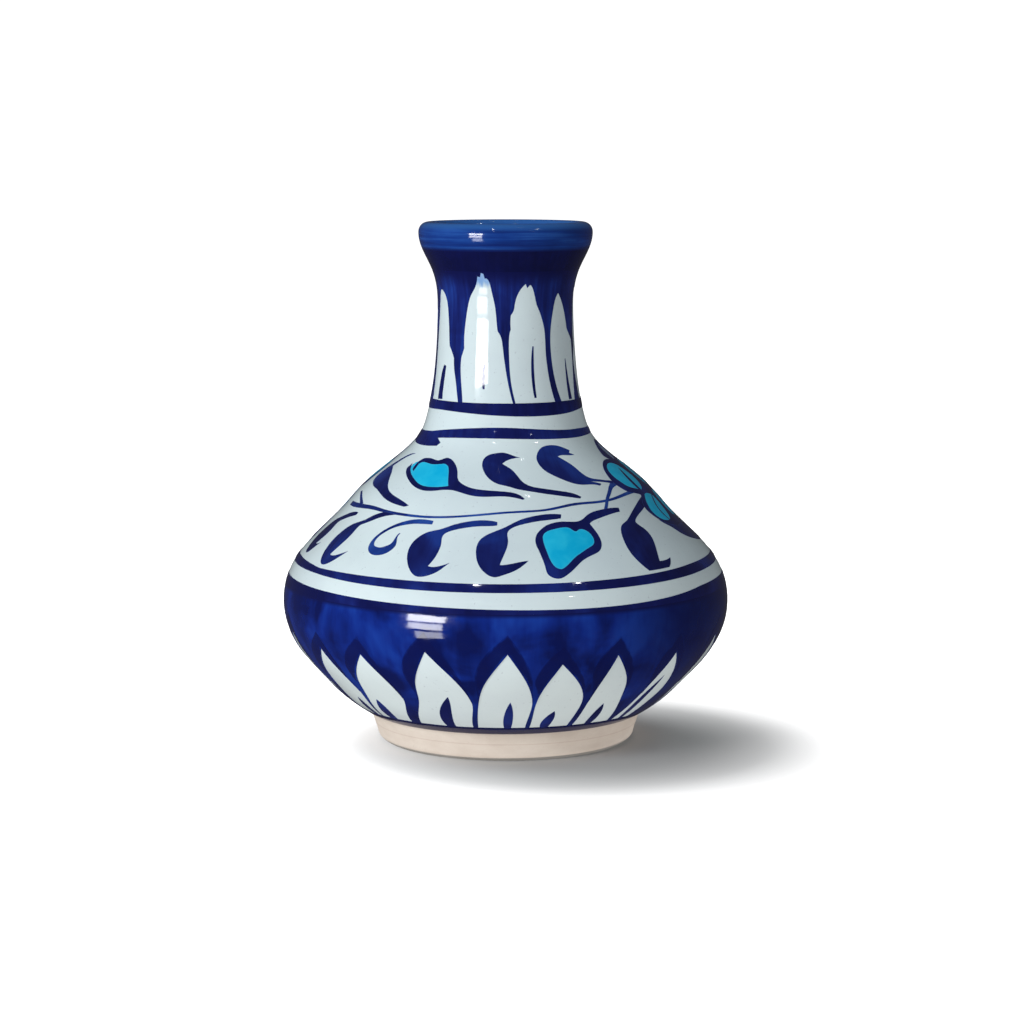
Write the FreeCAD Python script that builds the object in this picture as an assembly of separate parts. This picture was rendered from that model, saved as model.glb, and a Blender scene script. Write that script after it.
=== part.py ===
import FreeCAD, Part
import math
import os

from FreeCAD import Base, Vector

# A hand-painted, tin-glazed earthenware vase: clay thrown in sections and luted together,
# glazed white outside, lined with glaze inside, and painted with cobalt and turquoise.
#
# Lengths are millimetres.  +Z is up and the origin is the centre of the foot's resting face.
# A place on the wall is (angle, height): degrees about +Z from the front (-Y), positive towards
# +X, and the Z of the point on the white glaze.

# ---- driving dimensions -------------------------------------------------------------------
HEIGHT = 150.0                  # overall, paint included
GLAZE = 0.4                     # glaze, outside and inside
PAINT = 0.15                    # first coat of colour, over the white
OUTLINE = 0.12                  # second, darker coat, over the first
SLIP = 0.3                      # luting slip between two clay sections

GLAZE_START = 8.5               # the glaze stops here and the foot below it is bare
FOOT_REST_RADIUS = 36.6         # outside of the foot at the table
FOOT_INNER_RADIUS = 30.5        # inside of the foot ring
FOOT_EDGE = 1.2                 # chamfer of the foot's resting edges
FOOT_RING_HEIGHT = 5.0          # the ring is luted under the bowl at this height
BELLY_SEAM = 40.0               # widest place, where bowl and shoulder are luted
NECK_SEAM = 87.0                # where the neck is luted on the shoulder

LIP_TOP = HEIGHT - PAINT        # crest of the white glaze
COLLAR_HEIGHT = 147.2           # widest place of the rim collar
LIP_OUTER_ROUND = 2.6
LIP_INNER_ROUND = 1.9
THROAT_RADIUS = 15.5            # straight bore of the neck, measured on the glaze
THROAT_BOTTOM = 100.0
THROAT_TOP = 132.0

# White glaze surface, bottom to top: (height, radius)
OUTSIDE = [(GLAZE_START, 39.8), (13, 46.5), (19, 52.9), (26, 59.0), (33, 63.0), (BELLY_SEAM, 64.5),
           (47, 63.7), (54, 60.3), (61, 53.9), (68, 46.9), (74, 41.5), (80, 34.4), (85, 28.3),
           (89, 24.9), (94, 22.9), (102, 21.2), (112, 20.1), (124, 19.5), (131, 19.7),
           (137, 21.3), (142, 23.7), (144.8, 24.65), (COLLAR_HEIGHT, 24.9)]
LIP_RADIUS = OUTSIDE[-1][1] - LIP_OUTER_ROUND

# Inner face of the lining: floor and belly up to the throat, then throat to lip
INSIDE_LOW = [(12.0, 0.0), (12.0, 6.0), (12.3, 18.0), (14.0, 34.0), (20.0, 47.0), (29.0, 55.6),
              (40.0, 59.3), (50.0, 57.2), (60.0, 49.6), (70.0, 39.7), (77.0, 32.4), (83.5, 23.8),
              (90.0, 18.3), (96.5, 15.7), (THROAT_BOTTOM, THROAT_RADIUS)]
INSIDE_HIGH = [(THROAT_TOP, THROAT_RADIUS), (133.5, 15.6), (137.0, 16.7), (142.5, 19.3),
               (146.0, 20.3), (LIP_TOP - LIP_INNER_ROUND, LIP_RADIUS - LIP_INNER_ROUND)]

# Heights where one painted zone ends and the next begins
FOOT_LINE_TOP = 11.2
BELLY_GROUND_TOP = 46.4
NECK_LINE_TOP = 99.6
DRIPS_TOP = 136.6
DARK_BAND_TOP = 142.3

AXIS = Vector(0, 0, 1)
ORIGIN = Vector(0, 0, 0)
FRONT = -90                     # the vase's front, as an angle from +X
FULL_TURN = 360
SQUARE_ENOUGH = 0.997           # cosine of the tilt below which a tangent counts as square


# ---- meridians and turned solids ------------------------------------------------------------
def at(radius, height):
    return Vector(radius, 0, height)


def outside(level):
    """Meridian standing `level` off the white glaze.  Its parameter is the height."""
    heights = [height for height, radius in OUTSIDE]
    curve = Part.BSplineCurve()
    curve.interpolate(Points=[at(radius, height) for height, radius in OUTSIDE], Parameters=heights)
    return curve if level == 0 else parallel(curve, heights, level)


def inside(stations, level):
    """Part of the inner face's meridian, `level` into the clay behind it."""
    curve = Part.BSplineCurve()
    curve.interpolate(Points=[at(radius, height) for height, radius in stations])
    if level == 0:
        return curve
    steps = 3 * len(stations)
    first = curve.FirstParameter
    span = curve.LastParameter - first
    return parallel(curve, [first + span * i / steps for i in range(steps + 1)], level)


def heading(curve, place):
    """Unit tangent, squared up where the curve runs all but level or upright."""
    along = curve.tangent(place)[0]
    if along.z > SQUARE_ENOUGH:
        return AXIS
    if along.x > SQUARE_ENOUGH:
        return Vector(1, 0, 0)
    return along


def parallel(curve, places, level):
    """The curve moved `level` to its outer side, with the same parameter."""
    points = []
    for place in places:
        along = heading(curve, place)
        points.append(curve.value(place) + Vector(along.z, 0, -along.x) * level)
    aside = Part.BSplineCurve()
    aside.interpolate(Points=points, Parameters=places)
    return aside


def inside_edges(level):
    """Edges of the inner face, from the floor's centre up to the lip."""
    low = inside(INSIDE_LOW, level)
    high = inside(INSIDE_HIGH, level)
    bore = Part.makeLine(low.value(low.LastParameter), high.value(high.FirstParameter))
    return [low.toShape(), bore, high.toShape()]


def lip_edges(level):
    """Two quarter rounds over the lip, from the collar to the inside."""
    outer = LIP_OUTER_ROUND + level
    inner = LIP_INNER_ROUND + level
    diagonal = math.sqrt(0.5)
    inner_centre = LIP_TOP - LIP_INNER_ROUND
    crest = at(LIP_RADIUS, LIP_TOP + level)
    over = Part.Arc(at(LIP_RADIUS + outer, COLLAR_HEIGHT),
                    at(LIP_RADIUS + outer * diagonal, COLLAR_HEIGHT + outer * diagonal), crest)
    down = Part.Arc(crest, at(LIP_RADIUS - inner * diagonal, inner_centre + inner * diagonal),
                    at(LIP_RADIUS - inner, inner_centre))
    return [over.toShape(), down.toShape()]


def first_point(edge):
    return edge.valueAt(edge.FirstParameter)


def last_point(edge):
    return edge.valueAt(edge.LastParameter)


def outline_face(edges):
    """Face inside a closed outline in the XZ plane."""
    return Part.Face(Part.Wire(edges))


def turned(face):
    """Solid of revolution about the vase's axis."""
    return face.revolve(ORIGIN, AXIS, FULL_TURN).Solids[0]


def band(low, high, under, over):
    """Ring of glaze or paint between two heights and two levels."""
    back = outside(under)
    front = outside(over)
    edges = [back.toShape(low, high), Part.makeLine(back.value(high), front.value(high)),
             front.toShape(low, high), Part.makeLine(front.value(low), back.value(low))]
    return turned(outline_face(edges))


# ---- patches of paint ------------------------------------------------------------------------
WALL = outside(0)


def step_on_wall(first, second):
    """Millimetres across and up the glaze between two places."""
    height = (first[1] + second[1]) / 2
    across = math.radians(second[0] - first[0]) * WALL.value(height).x
    return across, (second[1] - first[1]) / WALL.tangent(height)[0].z


def pace(places):
    """Spline parameters that keep a line from swinging out between unevenly spaced places."""
    total = 0
    parameters = [0]
    for first, second in zip(places, places[1:]):
        total += math.sqrt(math.hypot(*step_on_wall(first, second)))
        parameters.append(total)
    return parameters


def trace(surface, outline):
    """Closed wire drawn on a surface.  An outline is a list of smooth stretches of
    (angle, height); each stretch runs on to the first point of the next, with a corner there."""
    edges = []
    for i, stretch in enumerate(outline):
        places = stretch + [outline[(i + 1) % len(outline)][0]]
        points = [Base.Vector2d(math.radians(a + FULL_TURN / 2), h) for a, h in places]
        if len(places) == 2:
            curve = Part.Geom2d.Line2dSegment(points[0], points[1])
        else:
            curve = Part.Geom2d.BSplineCurve2d()
            curve.interpolate(Points=points, Parameters=pace(places))
        edges.append(curve.toShape(surface))
    return edges


def patch(outline, turn=0, under=0.0, over=PAINT):
    """Solid that fills an outline on the wall, turned by `turn` degrees about the axis."""
    back = Part.SurfaceOfRevolution(outside(under), ORIGIN, AXIS)
    front = Part.SurfaceOfRevolution(outside(over), ORIGIN, AXIS)
    back_edges = trace(back, outline)
    front_edges = trace(front, outline)
    faces = [Part.makeRuledSurface(a, b) for a, b in zip(back_edges, front_edges)]
    faces.append(Part.Face(back, Part.Wire(back_edges)))
    faces.append(Part.Face(front, Part.Wire(front_edges)))
    shell = Part.makeShell(faces)
    shell.sewShape(1e-4)
    solid = Part.Solid(shell.Shells[0])
    if solid.Volume < 0:
        solid.reverse()
    solid.rotate(ORIGIN, AXIS, turn + FRONT - FULL_TURN / 2)
    return solid


def cutter(outline, turn=0):
    """The same outline, deep enough to cut right through a coat."""
    return patch(outline, turn, -1.0, 1.0)


def stroke(*spine):
    """Outline of a brush stroke along (angle, height, half width in mm) places, blunt at both ends."""
    left = []
    right = []
    for i, (angle, height, half) in enumerate(spine):
        before = spine[max(i - 1, 0)]
        after = spine[min(i + 1, len(spine) - 1)]
        across, up = step_on_wall(before[:2], after[:2])
        length = math.hypot(across, up)
        aside_angle = math.degrees(up / length * half / WALL.value(height).x)
        aside_height = across / length * half * WALL.tangent(height)[0].z
        left.append((angle - aside_angle, height + aside_height))
        right.insert(0, (angle + aside_angle, height - aside_height))
    return [left[:-1], left[-1:], right[:-1], right[-1:]]


def moved(outline, turn, stretch=1, about=0):
    """The outline with its angles stretched about one angle, then turned."""
    return [[((a - about) * stretch + about + turn, h) for a, h in part] for part in outline]


def hand_drawn_ring(low_edge, high_edge):
    """Ring with wandering edges, each a list of heights at equal steps round the vase from -180."""
    sectors = 3
    per_sector = len(low_edge) // sectors
    step = FULL_TURN / len(low_edge)
    parts = []
    for sector in range(sectors):
        low = []
        high = []
        for i in range(per_sector + 1):
            k = (sector * per_sector + i) % len(low_edge)
            angle = (i - per_sector / 2) * step
            low.append((angle, low_edge[k]))
            high.insert(0, (angle, high_edge[k]))
        centre = (sector + 0.5) * per_sector * step - FULL_TURN / 2
        parts.append(patch([low[:-1], [low[-1]], high[:-1], [high[-1]]], centre))
    return parts[0].fuse(parts[1:]).removeSplitter()


def steady(height):
    """Edge of a hand-drawn ring that keeps to one height."""
    return [height] * 12


def group(solids):
    """Several separate solids of one node."""
    return Part.makeCompound([solid for shape in solids for solid in shape.Solids])


# ---- clay ---------------------------------------------------------------------------------
def foot_radius(height):
    """Radius of the bare, slightly tapering foot."""
    top = outside(-GLAZE).value(GLAZE_START)
    return FOOT_REST_RADIUS + (top.x - FOOT_REST_RADIUS) * height / top.z


def clay_face():
    """Half section of the clay above the foot ring."""
    base = FOOT_RING_HEIGHT + SLIP
    wall = outside(-GLAZE)
    lining = inside_edges(GLAZE)
    floor_centre = first_point(lining[0])
    edges = [Part.makeLine(at(0, base), at(foot_radius(base), base)),
             Part.makeLine(at(foot_radius(base), base), wall.value(GLAZE_START)),
             wall.toShape()]
    edges += lip_edges(-GLAZE) + lining[::-1]
    edges.append(Part.makeLine(floor_centre, at(0, base)))
    return outline_face(edges)


def clay_section(low, high):
    """The clay between two level cuts."""
    reach = 2 * OUTSIDE[5][1]
    corners = [at(-1, low), at(reach, low), at(reach, high), at(-1, high), at(-1, low)]
    window = Part.Face(Part.makePolygon(corners))
    return turned(clay_face().common(window).Faces[0])


def clay_foot_ring():
    outer = foot_radius(FOOT_RING_HEIGHT)
    corners = [at(FOOT_INNER_RADIUS, FOOT_EDGE), at(FOOT_INNER_RADIUS + FOOT_EDGE, 0),
               at(FOOT_REST_RADIUS - FOOT_EDGE, 0), at(foot_radius(FOOT_EDGE), FOOT_EDGE),
               at(outer, FOOT_RING_HEIGHT), at(FOOT_INNER_RADIUS, FOOT_RING_HEIGHT)]
    return turned(outline_face(Part.makePolygon(corners + corners[:1]).Edges))


def foot_luting_slip():
    low = FOOT_RING_HEIGHT
    high = low + SLIP
    corners = [at(FOOT_INNER_RADIUS, low), at(foot_radius(low), low), at(foot_radius(high), high),
               at(FOOT_INNER_RADIUS, high)]
    return turned(outline_face(Part.makePolygon(corners + corners[:1]).Edges))


# ---- glaze --------------------------------------------------------------------------------
def white_glaze():
    """Skin from just above the bare foot, over the lip."""
    back = outside(-GLAZE)
    front = outside(0)
    over_clay = lip_edges(-GLAZE)
    over_glaze = lip_edges(0)
    edges = [back.toShape()] + over_clay
    edges.append(Part.makeLine(last_point(over_clay[-1]), last_point(over_glaze[-1])))
    edges += over_glaze[::-1] + [front.toShape()]
    edges.append(Part.makeLine(front.value(GLAZE_START), back.value(GLAZE_START)))
    return turned(outline_face(edges))


def lining_glaze():
    """Skin over the floor, the belly, the throat and the flare."""
    back = inside_edges(GLAZE)
    front = inside_edges(0)
    edges = back + [Part.makeLine(last_point(back[-1]), last_point(front[-1]))] + front[::-1]
    edges.append(Part.makeLine(first_point(front[0]), first_point(back[0])))
    return turned(outline_face(edges))


# ---- rim and neck -----------------------------------------------------------------------------
def rim_band():
    """Cobalt over the collar and the lip."""
    back = outside(0)
    front = outside(PAINT)
    under = lip_edges(0)
    over = lip_edges(PAINT)
    edges = [back.toShape(DARK_BAND_TOP, COLLAR_HEIGHT)] + under
    edges.append(Part.makeLine(last_point(under[-1]), last_point(over[-1])))
    edges += over[::-1] + [front.toShape(DARK_BAND_TOP, COLLAR_HEIGHT)]
    edges.append(Part.makeLine(front.value(DARK_BAND_TOP), back.value(DARK_BAND_TOP)))
    return turned(outline_face(edges))


# White petals between the drips, as seen from the front; each reaches down past the base line
PETAL_LEFT = [[(-74, 99), (-75.5, 106), (-76, 112), (-75.5, 119), (-73.5, 126), (-70.5, 130)],
              [(-67, 131), (-62.5, 130.2), (-58.5, 128), (-56, 124), (-54.6, 120), (-53.3, 116)],
              [(-52.8, 115.2), (-49.5, 113.6)],
              [(-46.6, 111.8), (-45.4, 108.5), (-43, 105.5), (-40.5, 102)],
              [(-38, 99)]]
PETAL_MIDDLE = [[(-34, 99), (-36, 103), (-38.2, 107.5), (-38.7, 110.5)],
                [(-38.2, 112.4), (-36.8, 113.8)],
                [(-35.8, 114.8), (-36.1, 118.5), (-35, 122.5), (-33, 126.5), (-30, 129.6), (-26.4, 131.5)],
                [(-22.5, 135.2)],
                [(-20.3, 135)],
                [(-19.2, 136.2)],
                [(-17.3, 136)],
                [(-16.8, 134.6)],
                [(-15.2, 134.7), (-13, 133.6), (-11.4, 131), (-9.4, 128), (-7.8, 124.3), (-6.6, 120.2)],
                [(-6, 119.6), (-4, 118.4)],
                [(-2.8, 117), (-1.2, 112.5), (0.6, 108), (3, 103.5)],
                [(6, 99)]]
PETAL_RIGHT = [[(8, 99), (5.8, 102.5), (4, 106.5), (3, 112), (3, 118)],
               [(4.4, 120.3), (4.1, 122.5)],
               [(4.6, 124.4), (6.8, 125.6)],
               [(7.6, 127), (10, 130), (13, 131.8)],
               [(16.5, 133.1)],
               [(18, 131.9)],
               [(20.3, 132.8), (23.5, 131.2), (26.3, 127.8)],
               [(27, 127), (30, 124.8), (32.6, 122.2), (34.3, 119), (34.7, 114), (35.6, 109.5),
                (37.6, 104.5)],
               [(41, 99)]]
PETAL_FAR_RIGHT = [[(48, 99), (44.5, 103), (41.8, 107.5), (40.2, 112.5), (39.9, 117.5), (41.5, 122),
                    (44, 125.8), (46.7, 128.8)],
                   [(49.6, 130.2), (53.5, 128.4), (57.5, 125.8), (60.6, 122.5)],
                   [(62.3, 120), (65.5, 118.6)],
                   [(70, 116.8), (71, 112), (69.5, 106), (67.5, 102)],
                   [(66, 99)]]


BACK_PETAL_WIDENING = 1.15      # the petals behind are a little wider, to fill the turn
TINT_START = 131.4              # above this the tallest petals' tips are tinted


def tallest_petals():
    """The tallest petal's outline, with the turns that carry it to its three places."""
    mirrored = moved(PETAL_MIDDLE, 0, -1, -19)
    return [(PETAL_MIDDLE, 0), (PETAL_MIDDLE, 113), (mirrored, 234)]


def neck_petals():
    """Outlines of the nine white petals, each with the turn that carries it to its place."""
    lower = [(PETAL_LEFT, 0), (PETAL_RIGHT, 0), (PETAL_FAR_RIGHT, 0),
             (moved(PETAL_RIGHT, 0, BACK_PETAL_WIDENING, 19), 115.5),
             (moved(PETAL_FAR_RIGHT, 0, BACK_PETAL_WIDENING, 55.5), 119),
             (moved(PETAL_RIGHT, 0, -BACK_PETAL_WIDENING, 19), 238)]
    return tallest_petals() + lower


def neck_blue_drips():
    """Cobalt that runs down between the petals to the base line."""
    ground = band(NECK_LINE_TOP, DRIPS_TOP, 0, PAINT)
    return ground.cut([cutter(outline, turn) for outline, turn in neck_petals()])


def neck_petal_veins():
    """One short stroke inside each petal."""
    low = NECK_LINE_TOP + 0.3
    wide = stroke((-60, low, 1.3), (-60.5, 104, 1.15), (-59, 108, 0.9), (-57.5, 109.6, 0.5))
    short = stroke((-17, 103.5, 0.3), (-17.6, 107, 0.45), (-17, 110.5, 0.15))
    thin = stroke((23.5, 101, 0.35), (22.3, 106, 0.45), (22.2, 111, 0.4), (23, 115.5, 0.2))
    leaning = stroke((59.5, low, 0.9), (58.4, 105, 0.6), (57.3, 111.5, 0.15))
    places = [(wide, 0), (short, 0), (thin, 0), (leaning, 0), (thin, 71), (wide, 196), (leaning, 117),
              (thin, 192), (leaning, 197)]
    return group([patch(outline, turn) for outline, turn in places])


def neck_petal_tints():
    """Thin cobalt over the tips of the tallest petals."""
    above = band(TINT_START, DRIPS_TOP, 0, PAINT)
    return group([patch(outline, turn).common(above) for outline, turn in tallest_petals()])


def neck_base_line():
    low = [97.0, 97.2, 97.0, 96.8, 97.0, 96.7, 96.1, 95.9, 96.4, 96.8, 96.5, 96.7]
    return hand_drawn_ring(low, steady(NECK_LINE_TOP))


def neck_ring_line():
    """Line painted round the root of the neck; its two ends pass each other on the left."""
    low = [88.9, 88.8, 88.9, 88.9, 88.9, 89.8, 89.9, 89.5, 89.3, 89.4, 89.2, 89.0]
    high = [91.0, 90.8, 90.5, 90.4, 90.9, 92.4, 92.9, 92.1, 91.6, 91.3, 91.2, 91.1]
    second_end = [[(-46.2, 88.1)],
                  [(-49.6, 88.9), (-56, 89.7), (-75, 89.8), (-92, 89.8)],
                  [(-108, 89.6), (-92, 87.6), (-75, 86.9), (-62, 86.8), (-53, 87)],
                  [(-48.1, 87.2)]]
    return hand_drawn_ring(low, high).fuse(patch(second_end)).removeSplitter()


# ---- shoulder: flowers joined by leafy vines, twice round the vase ----------------------------------
HALF_TURNS = (0, 180)

UPPER_LEAF = [[(8.5, 85), (4, 85.6), (1, 86.1), (-2, 86.3), (-6, 86.1), (-10, 85.6), (-12.3, 84.5),
               (-12.2, 82.9), (-10.5, 81.4), (-7.5, 79.8), (-3.5, 78.6), (1, 78), (5, 77.3), (10.3, 76.7),
               (16.4, 76), (22, 75.4), (26.3, 74.9)],
              [(30.5, 74.4)],
              [(31.3, 74.8), (27.8, 75.9), (23.4, 76.5), (17.1, 77.2), (11.3, 77.9), (8, 78.9),
               (6, 80.3), (3.5, 81.9), (0.5, 82.9)],
              [(-1.6, 83.5), (0.5, 84.2), (3.5, 84.7)]]
FORKED_LEAF = [[(42, 86.2), (38, 87.1), (34, 87.7), (30, 87.9), (26, 87.8), (22.5, 87.3), (19.5, 86.2),
                (17.7, 84.7), (18, 83.2), (19.8, 81.7), (22.5, 80.6), (26, 79.5), (30, 78.4), (33.5, 77.8),
                (37, 77.6), (40.5, 77.5)],
               [(44.2, 77)],
               [(45.7, 77.4), (43.3, 77.9)],
               [(40.8, 78.25), (45.7, 77.95), (50, 77.5)],
               [(53, 77), (53.6, 77.7), (50, 78.1), (46.6, 78.5), (43, 78.9), (40.3, 79.7), (38.5, 81.2),
                (37.2, 82.4), (34.5, 83.7)],
               [(31.2, 84.9), (35, 85.15), (39, 85)],
               [(43.5, 85)],
               [(40.5, 85.6)]]
SWEPT_LEAF = [[(-62.5, 84.5), (-67, 84.3), (-71, 83.5), (-74.5, 82.2), (-77.5, 80.5), (-79, 78.5),
               (-78, 76.9), (-74, 75.8), (-69, 75.2), (-64, 74.8), (-59, 74.1), (-52, 72.9), (-46, 72.2)],
              [(-40.5, 71.8)],
              [(-38.5, 72.2), (-46, 73.7), (-53, 74.8), (-58, 76.1), (-62, 77.6), (-65.5, 78.9), (-69, 79.8)],
              [(-73.5, 80.6), (-70.5, 82.6), (-67, 83.8)]]

HANGING_LEAF = [[(-2.7, 69.2), (-4.7, 69.5), (-8.5, 69.6), (-13, 69.2), (-18, 68.2), (-22, 67), (-25.5, 66.3),
                 (-28.3, 65), (-29.8, 63.2), (-29.8, 61), (-28.6, 58.8), (-26.6, 56.7), (-24.5, 55.5),
                 (-22, 55.5), (-19, 56.6), (-17.3, 57.8)],
                [(-15.7, 59.1), (-18, 58.3), (-20.2, 57.9)],
                [(-21.8, 58.1), (-20.8, 59.6), (-20.1, 61.5), (-20, 63.5), (-20.4, 65.1), (-19.7, 66.1),
                 (-16.5, 67.1), (-12.8, 67.7), (-8.6, 68.1), (-4.6, 68.2)],
                [(-2.7, 68.4)]]
LONG_STEMMED_LEAF = [[(20.3, 70.8), (15, 71), (10, 70.6), (5, 69.7), (1, 68.3), (-2, 67.3), (-5, 66.4),
                      (-7.6, 65.1), (-8.7, 63.3), (-8.5, 61), (-7.5, 58.9), (-5.6, 57), (-3, 55.9),
                      (-0.5, 56.4), (2.5, 57.4)],
                     [(6.6, 59.8), (4, 59.5), (1, 59)],
                     [(-1.5, 58.8), (-0.8, 60.4), (0.3, 62.5), (0.9, 64.7), (0.7, 66.4), (1.8, 67.5),
                      (4.8, 68.4), (8.6, 69), (12.6, 69.4), (16.8, 69.6)],
                     [(19.8, 69.8)]]
NARROW_LEAF = [[(-47, 70), (-50, 69.6), (-53.5, 68.5), (-56, 67.3), (-58.5, 66.5), (-61.5, 65.5),
                (-63.8, 63.8), (-65, 61.2), (-64.4, 58.6), (-62.8, 56.4), (-60.5, 55.1), (-57.8, 55.5),
                (-55, 57.2)],
               [(-52.3, 59.4), (-55, 58.4), (-57.5, 57.7)],
               [(-59.6, 57.8), (-58.7, 59.6), (-57.5, 62), (-57, 64.2), (-56.5, 65.7), (-54.2, 66.6),
                (-50.5, 67.9), (-47, 68.9), (-44, 69.4)],
               [(-41.5, 69.7)]]
SMALL_LEAF = [[(-64, 68.5), (-68, 68.3), (-72, 67.3), (-75.5, 66.2), (-78.5, 65.2), (-81, 63.2),
               (-81.8, 60.6), (-80.6, 58.2), (-78.3, 56.3), (-75.8, 56.2), (-73.8, 57.6)],
              [(-71.8, 59.6), (-73.4, 59)],
              [(-75, 58.8), (-73.8, 60.8), (-73.2, 62.8), (-73.5, 64.7), (-71.3, 65.9), (-67.5, 67)],
              [(-64, 67.8)]]
BROAD_LEAF = [[(65.5, 72.9), (61, 72.2), (57, 71.3), (52, 69.9), (48, 68.5), (45.5, 67.7), (42.3, 66.8),
               (40.2, 64.8), (39.3, 62.4), (39.3, 60), (40.4, 57.6)],
              [(42.2, 55.4), (46, 55.4)],
              [(50.5, 55.5), (52, 56.3)],
              [(53.6, 57.7), (51, 57.3)],
              [(48.2, 57.3), (49.6, 59.4), (51.4, 61.6), (52.4, 63.6), (51.6, 65.5), (50, 67.1),
               (52, 68.2), (56, 69.2)],
              [(62.5, 70.6)]]

OPEN_BUD_OUTLINE = [[(-52.3, 80.9), (-53.2, 82.2), (-52.3, 83.3), (-49.5, 83.9), (-44, 83.9), (-39, 83.7),
                     (-35.5, 84.4), (-32.5, 84.35), (-29, 83.6), (-25.5, 82.2), (-23.6, 80.8), (-22, 79.4),
                     (-18.5, 78.2), (-14, 77.4), (-8, 77), (0, 76.7), (4.5, 76.2)],
                    [(7.6, 74.9)],
                    [(6.8, 74.7), (4.5, 75.1), (0.5, 75.5), (-4.5, 75.5), (-9, 75.4), (-13.5, 75.6),
                     (-18, 76.2), (-22, 76.7), (-26.5, 76.7), (-31, 76.3), (-36, 76.2), (-40, 76.6),
                     (-44, 77.3), (-48, 78.2),
                     (-52.5, 79.3), (-56.2, 80.4)],
                    [(-57.3, 81)],
                    [(-56.9, 82.3), (-55.3, 81.5), (-52, 80.3), (-48, 79.3), (-44, 78.4), (-40, 77.6),
                     (-35.5, 77.2), (-30, 77.3)],
                    [(-25.2, 77.7), (-27.5, 79.9), (-29.3, 81.5), (-31, 82.4), (-33.5, 82.9), (-38, 82.7),
                     (-42, 82.6), (-46, 82.8), (-49.5, 82.8)],
                    [(-51, 82.2)],
                    [(-50.2, 80.4)]]
OPEN_BUD_WASH = [[(-55.6, 81.9), (-52.5, 83), (-46, 83.4), (-38, 83.2), (-33, 83.5), (-29, 82.4),
                  (-26.2, 80)],
                 [(-24.6, 77.2), (-30, 76.8), (-36, 76.7), (-44, 77.9), (-52, 79.9)]]
HEART_BUD_OUTLINE = [[(45.9, 71.2), (42, 71.4), (38, 71.3), (34, 71), (30.5, 70.3), (27.8, 69.3), (25, 68.8),
                      (20, 69), (15, 68.5), (12.5, 67.6), (10.3, 66.2), (9.4, 64.3), (10, 62.2), (10.7, 60),
                      (11.1, 58), (11.6, 56.3), (14, 55.3), (16.5, 56), (19.5, 57.7), (22.5, 59.4),
                      (26, 60.5), (29, 61.4), (30.8, 63), (31.2, 64.8), (30.7, 66.5)],
                     [(29.9, 68), (31.3, 68.6), (34.8, 69.2), (40.5, 69.9)],
                     [(45.4, 70.2)]]
HEART_BUD_WASH = [[(12, 65.3), (13.5, 66.6), (17, 67.3), (21, 67.5), (22.5, 66.9), (23.6, 66.4), (25, 66.8),
                   (26.8, 66.7), (28.3, 65.8), (28.8, 64.4), (28, 63.1), (25.5, 62.2), (22.5, 61.1),
                   (20, 60), (17.6, 58.5)],
                  [(15.6, 57.6), (13.9, 58.2), (12.9, 59.8), (12.4, 61.8), (12, 63.6)]]

# Flower, with angles measured from its own middle; its right half is the left one, narrowed
FLOWER_ANGLE = 80
FLOWER_NARROWING = 0.62
UPPER_PETAL = [[(-14.6, 73.2), (-17.8, 73.9), (-22, 74.6), (-24.5, 75.7), (-26.1, 77), (-26.1, 78.6),
                (-24.3, 80.4), (-21.7, 81.5), (-18, 82.3), (-12.8, 82.7), (-6.7, 82.4), (-2.7, 81.6)],
               [(1, 80.6)],
               [(1, 72.6), (-7, 72.9)]]
UPPER_PETAL_WASH = [[(-11.3, 74.2), (-14.3, 74.9), (-18.6, 75.8), (-20.7, 77.1), (-22, 78.4), (-21.9, 79.6),
                     (-20.3, 80.7), (-16, 81.6), (-11, 81.6)],
                    [(-6.4, 80.7), (-4, 79), (-3.6, 77), (-6, 75.2)]]
LOWER_PETAL = [[(-14, 73.4), (-17.2, 71.8), (-19, 70.1), (-17.9, 68.3), (-15.2, 66.4), (-11.5, 65.1),
                (-6.5, 64)],
               [(1, 63.7)],
               [(1, 73.6)]]
LOWER_PETAL_WASH = [[(-7.3, 65.7), (-11.2, 66), (-14.3, 67), (-15.8, 68.6), (-15.5, 70.2), (-13.8, 71.8)],
                    [(-11, 73), (-6.5, 73), (-3, 71.8), (-2.4, 69.4), (-3.6, 67)]]
CROWN_PETAL = [[(2, 87.7), (-3, 87.2), (-6.5, 86.1), (-9.3, 84.8), (-10.4, 83.5), (-7.5, 82.5), (-4, 81.6)],
               [(-1, 80.6), (4, 81.2), (8, 82.8), (8.6, 84.5), (6.5, 86.7)]]
CROWN_PETAL_WASH = [[(-1.6, 83.2), (-1.4, 85), (0.6, 86.4), (3.4, 86.1), (5, 84.6)],
                    [(4, 82.9), (1.2, 82.1), (-0.8, 82.3)]]
SKIRT_PETAL = [[(-15.8, 66.5), (-13.7, 65.2), (-11.4, 64.1), (-9.4, 62.7), (-6.8, 61.3), (-2.5, 60),
                (5, 58.6)],
               [(13, 58), (11.5, 61), (8.5, 64.5), (4, 65.6)],
               [(-2, 66), (-9, 66.2)]]


def upper_vein():
    return stroke((-9, 80.2, 0.15), (-10.3, 78.8, 0.6), (-11.2, 77.4, 0.85), (-11.5, 76, 0.9),
                  (-11, 73.8, 0.8))


def lower_vein():
    return stroke((-3.6, 72.4, 0.15), (-6.4, 71.2, 0.35), (-8.3, 69.6, 0.4), (-8.6, 68, 0.4),
                  (-7, 65.4, 0.35))


def petal_pairs(outline):
    """A petal on the left of the flower and its narrowed mirror image on the right."""
    return [outline, moved(outline, 0, -FLOWER_NARROWING)]


def on_flowers(outlines):
    """Patches of every outline on both flowers."""
    return [patch(outline, FLOWER_ANGLE + half) for half in HALF_TURNS for outline in outlines]


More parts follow.
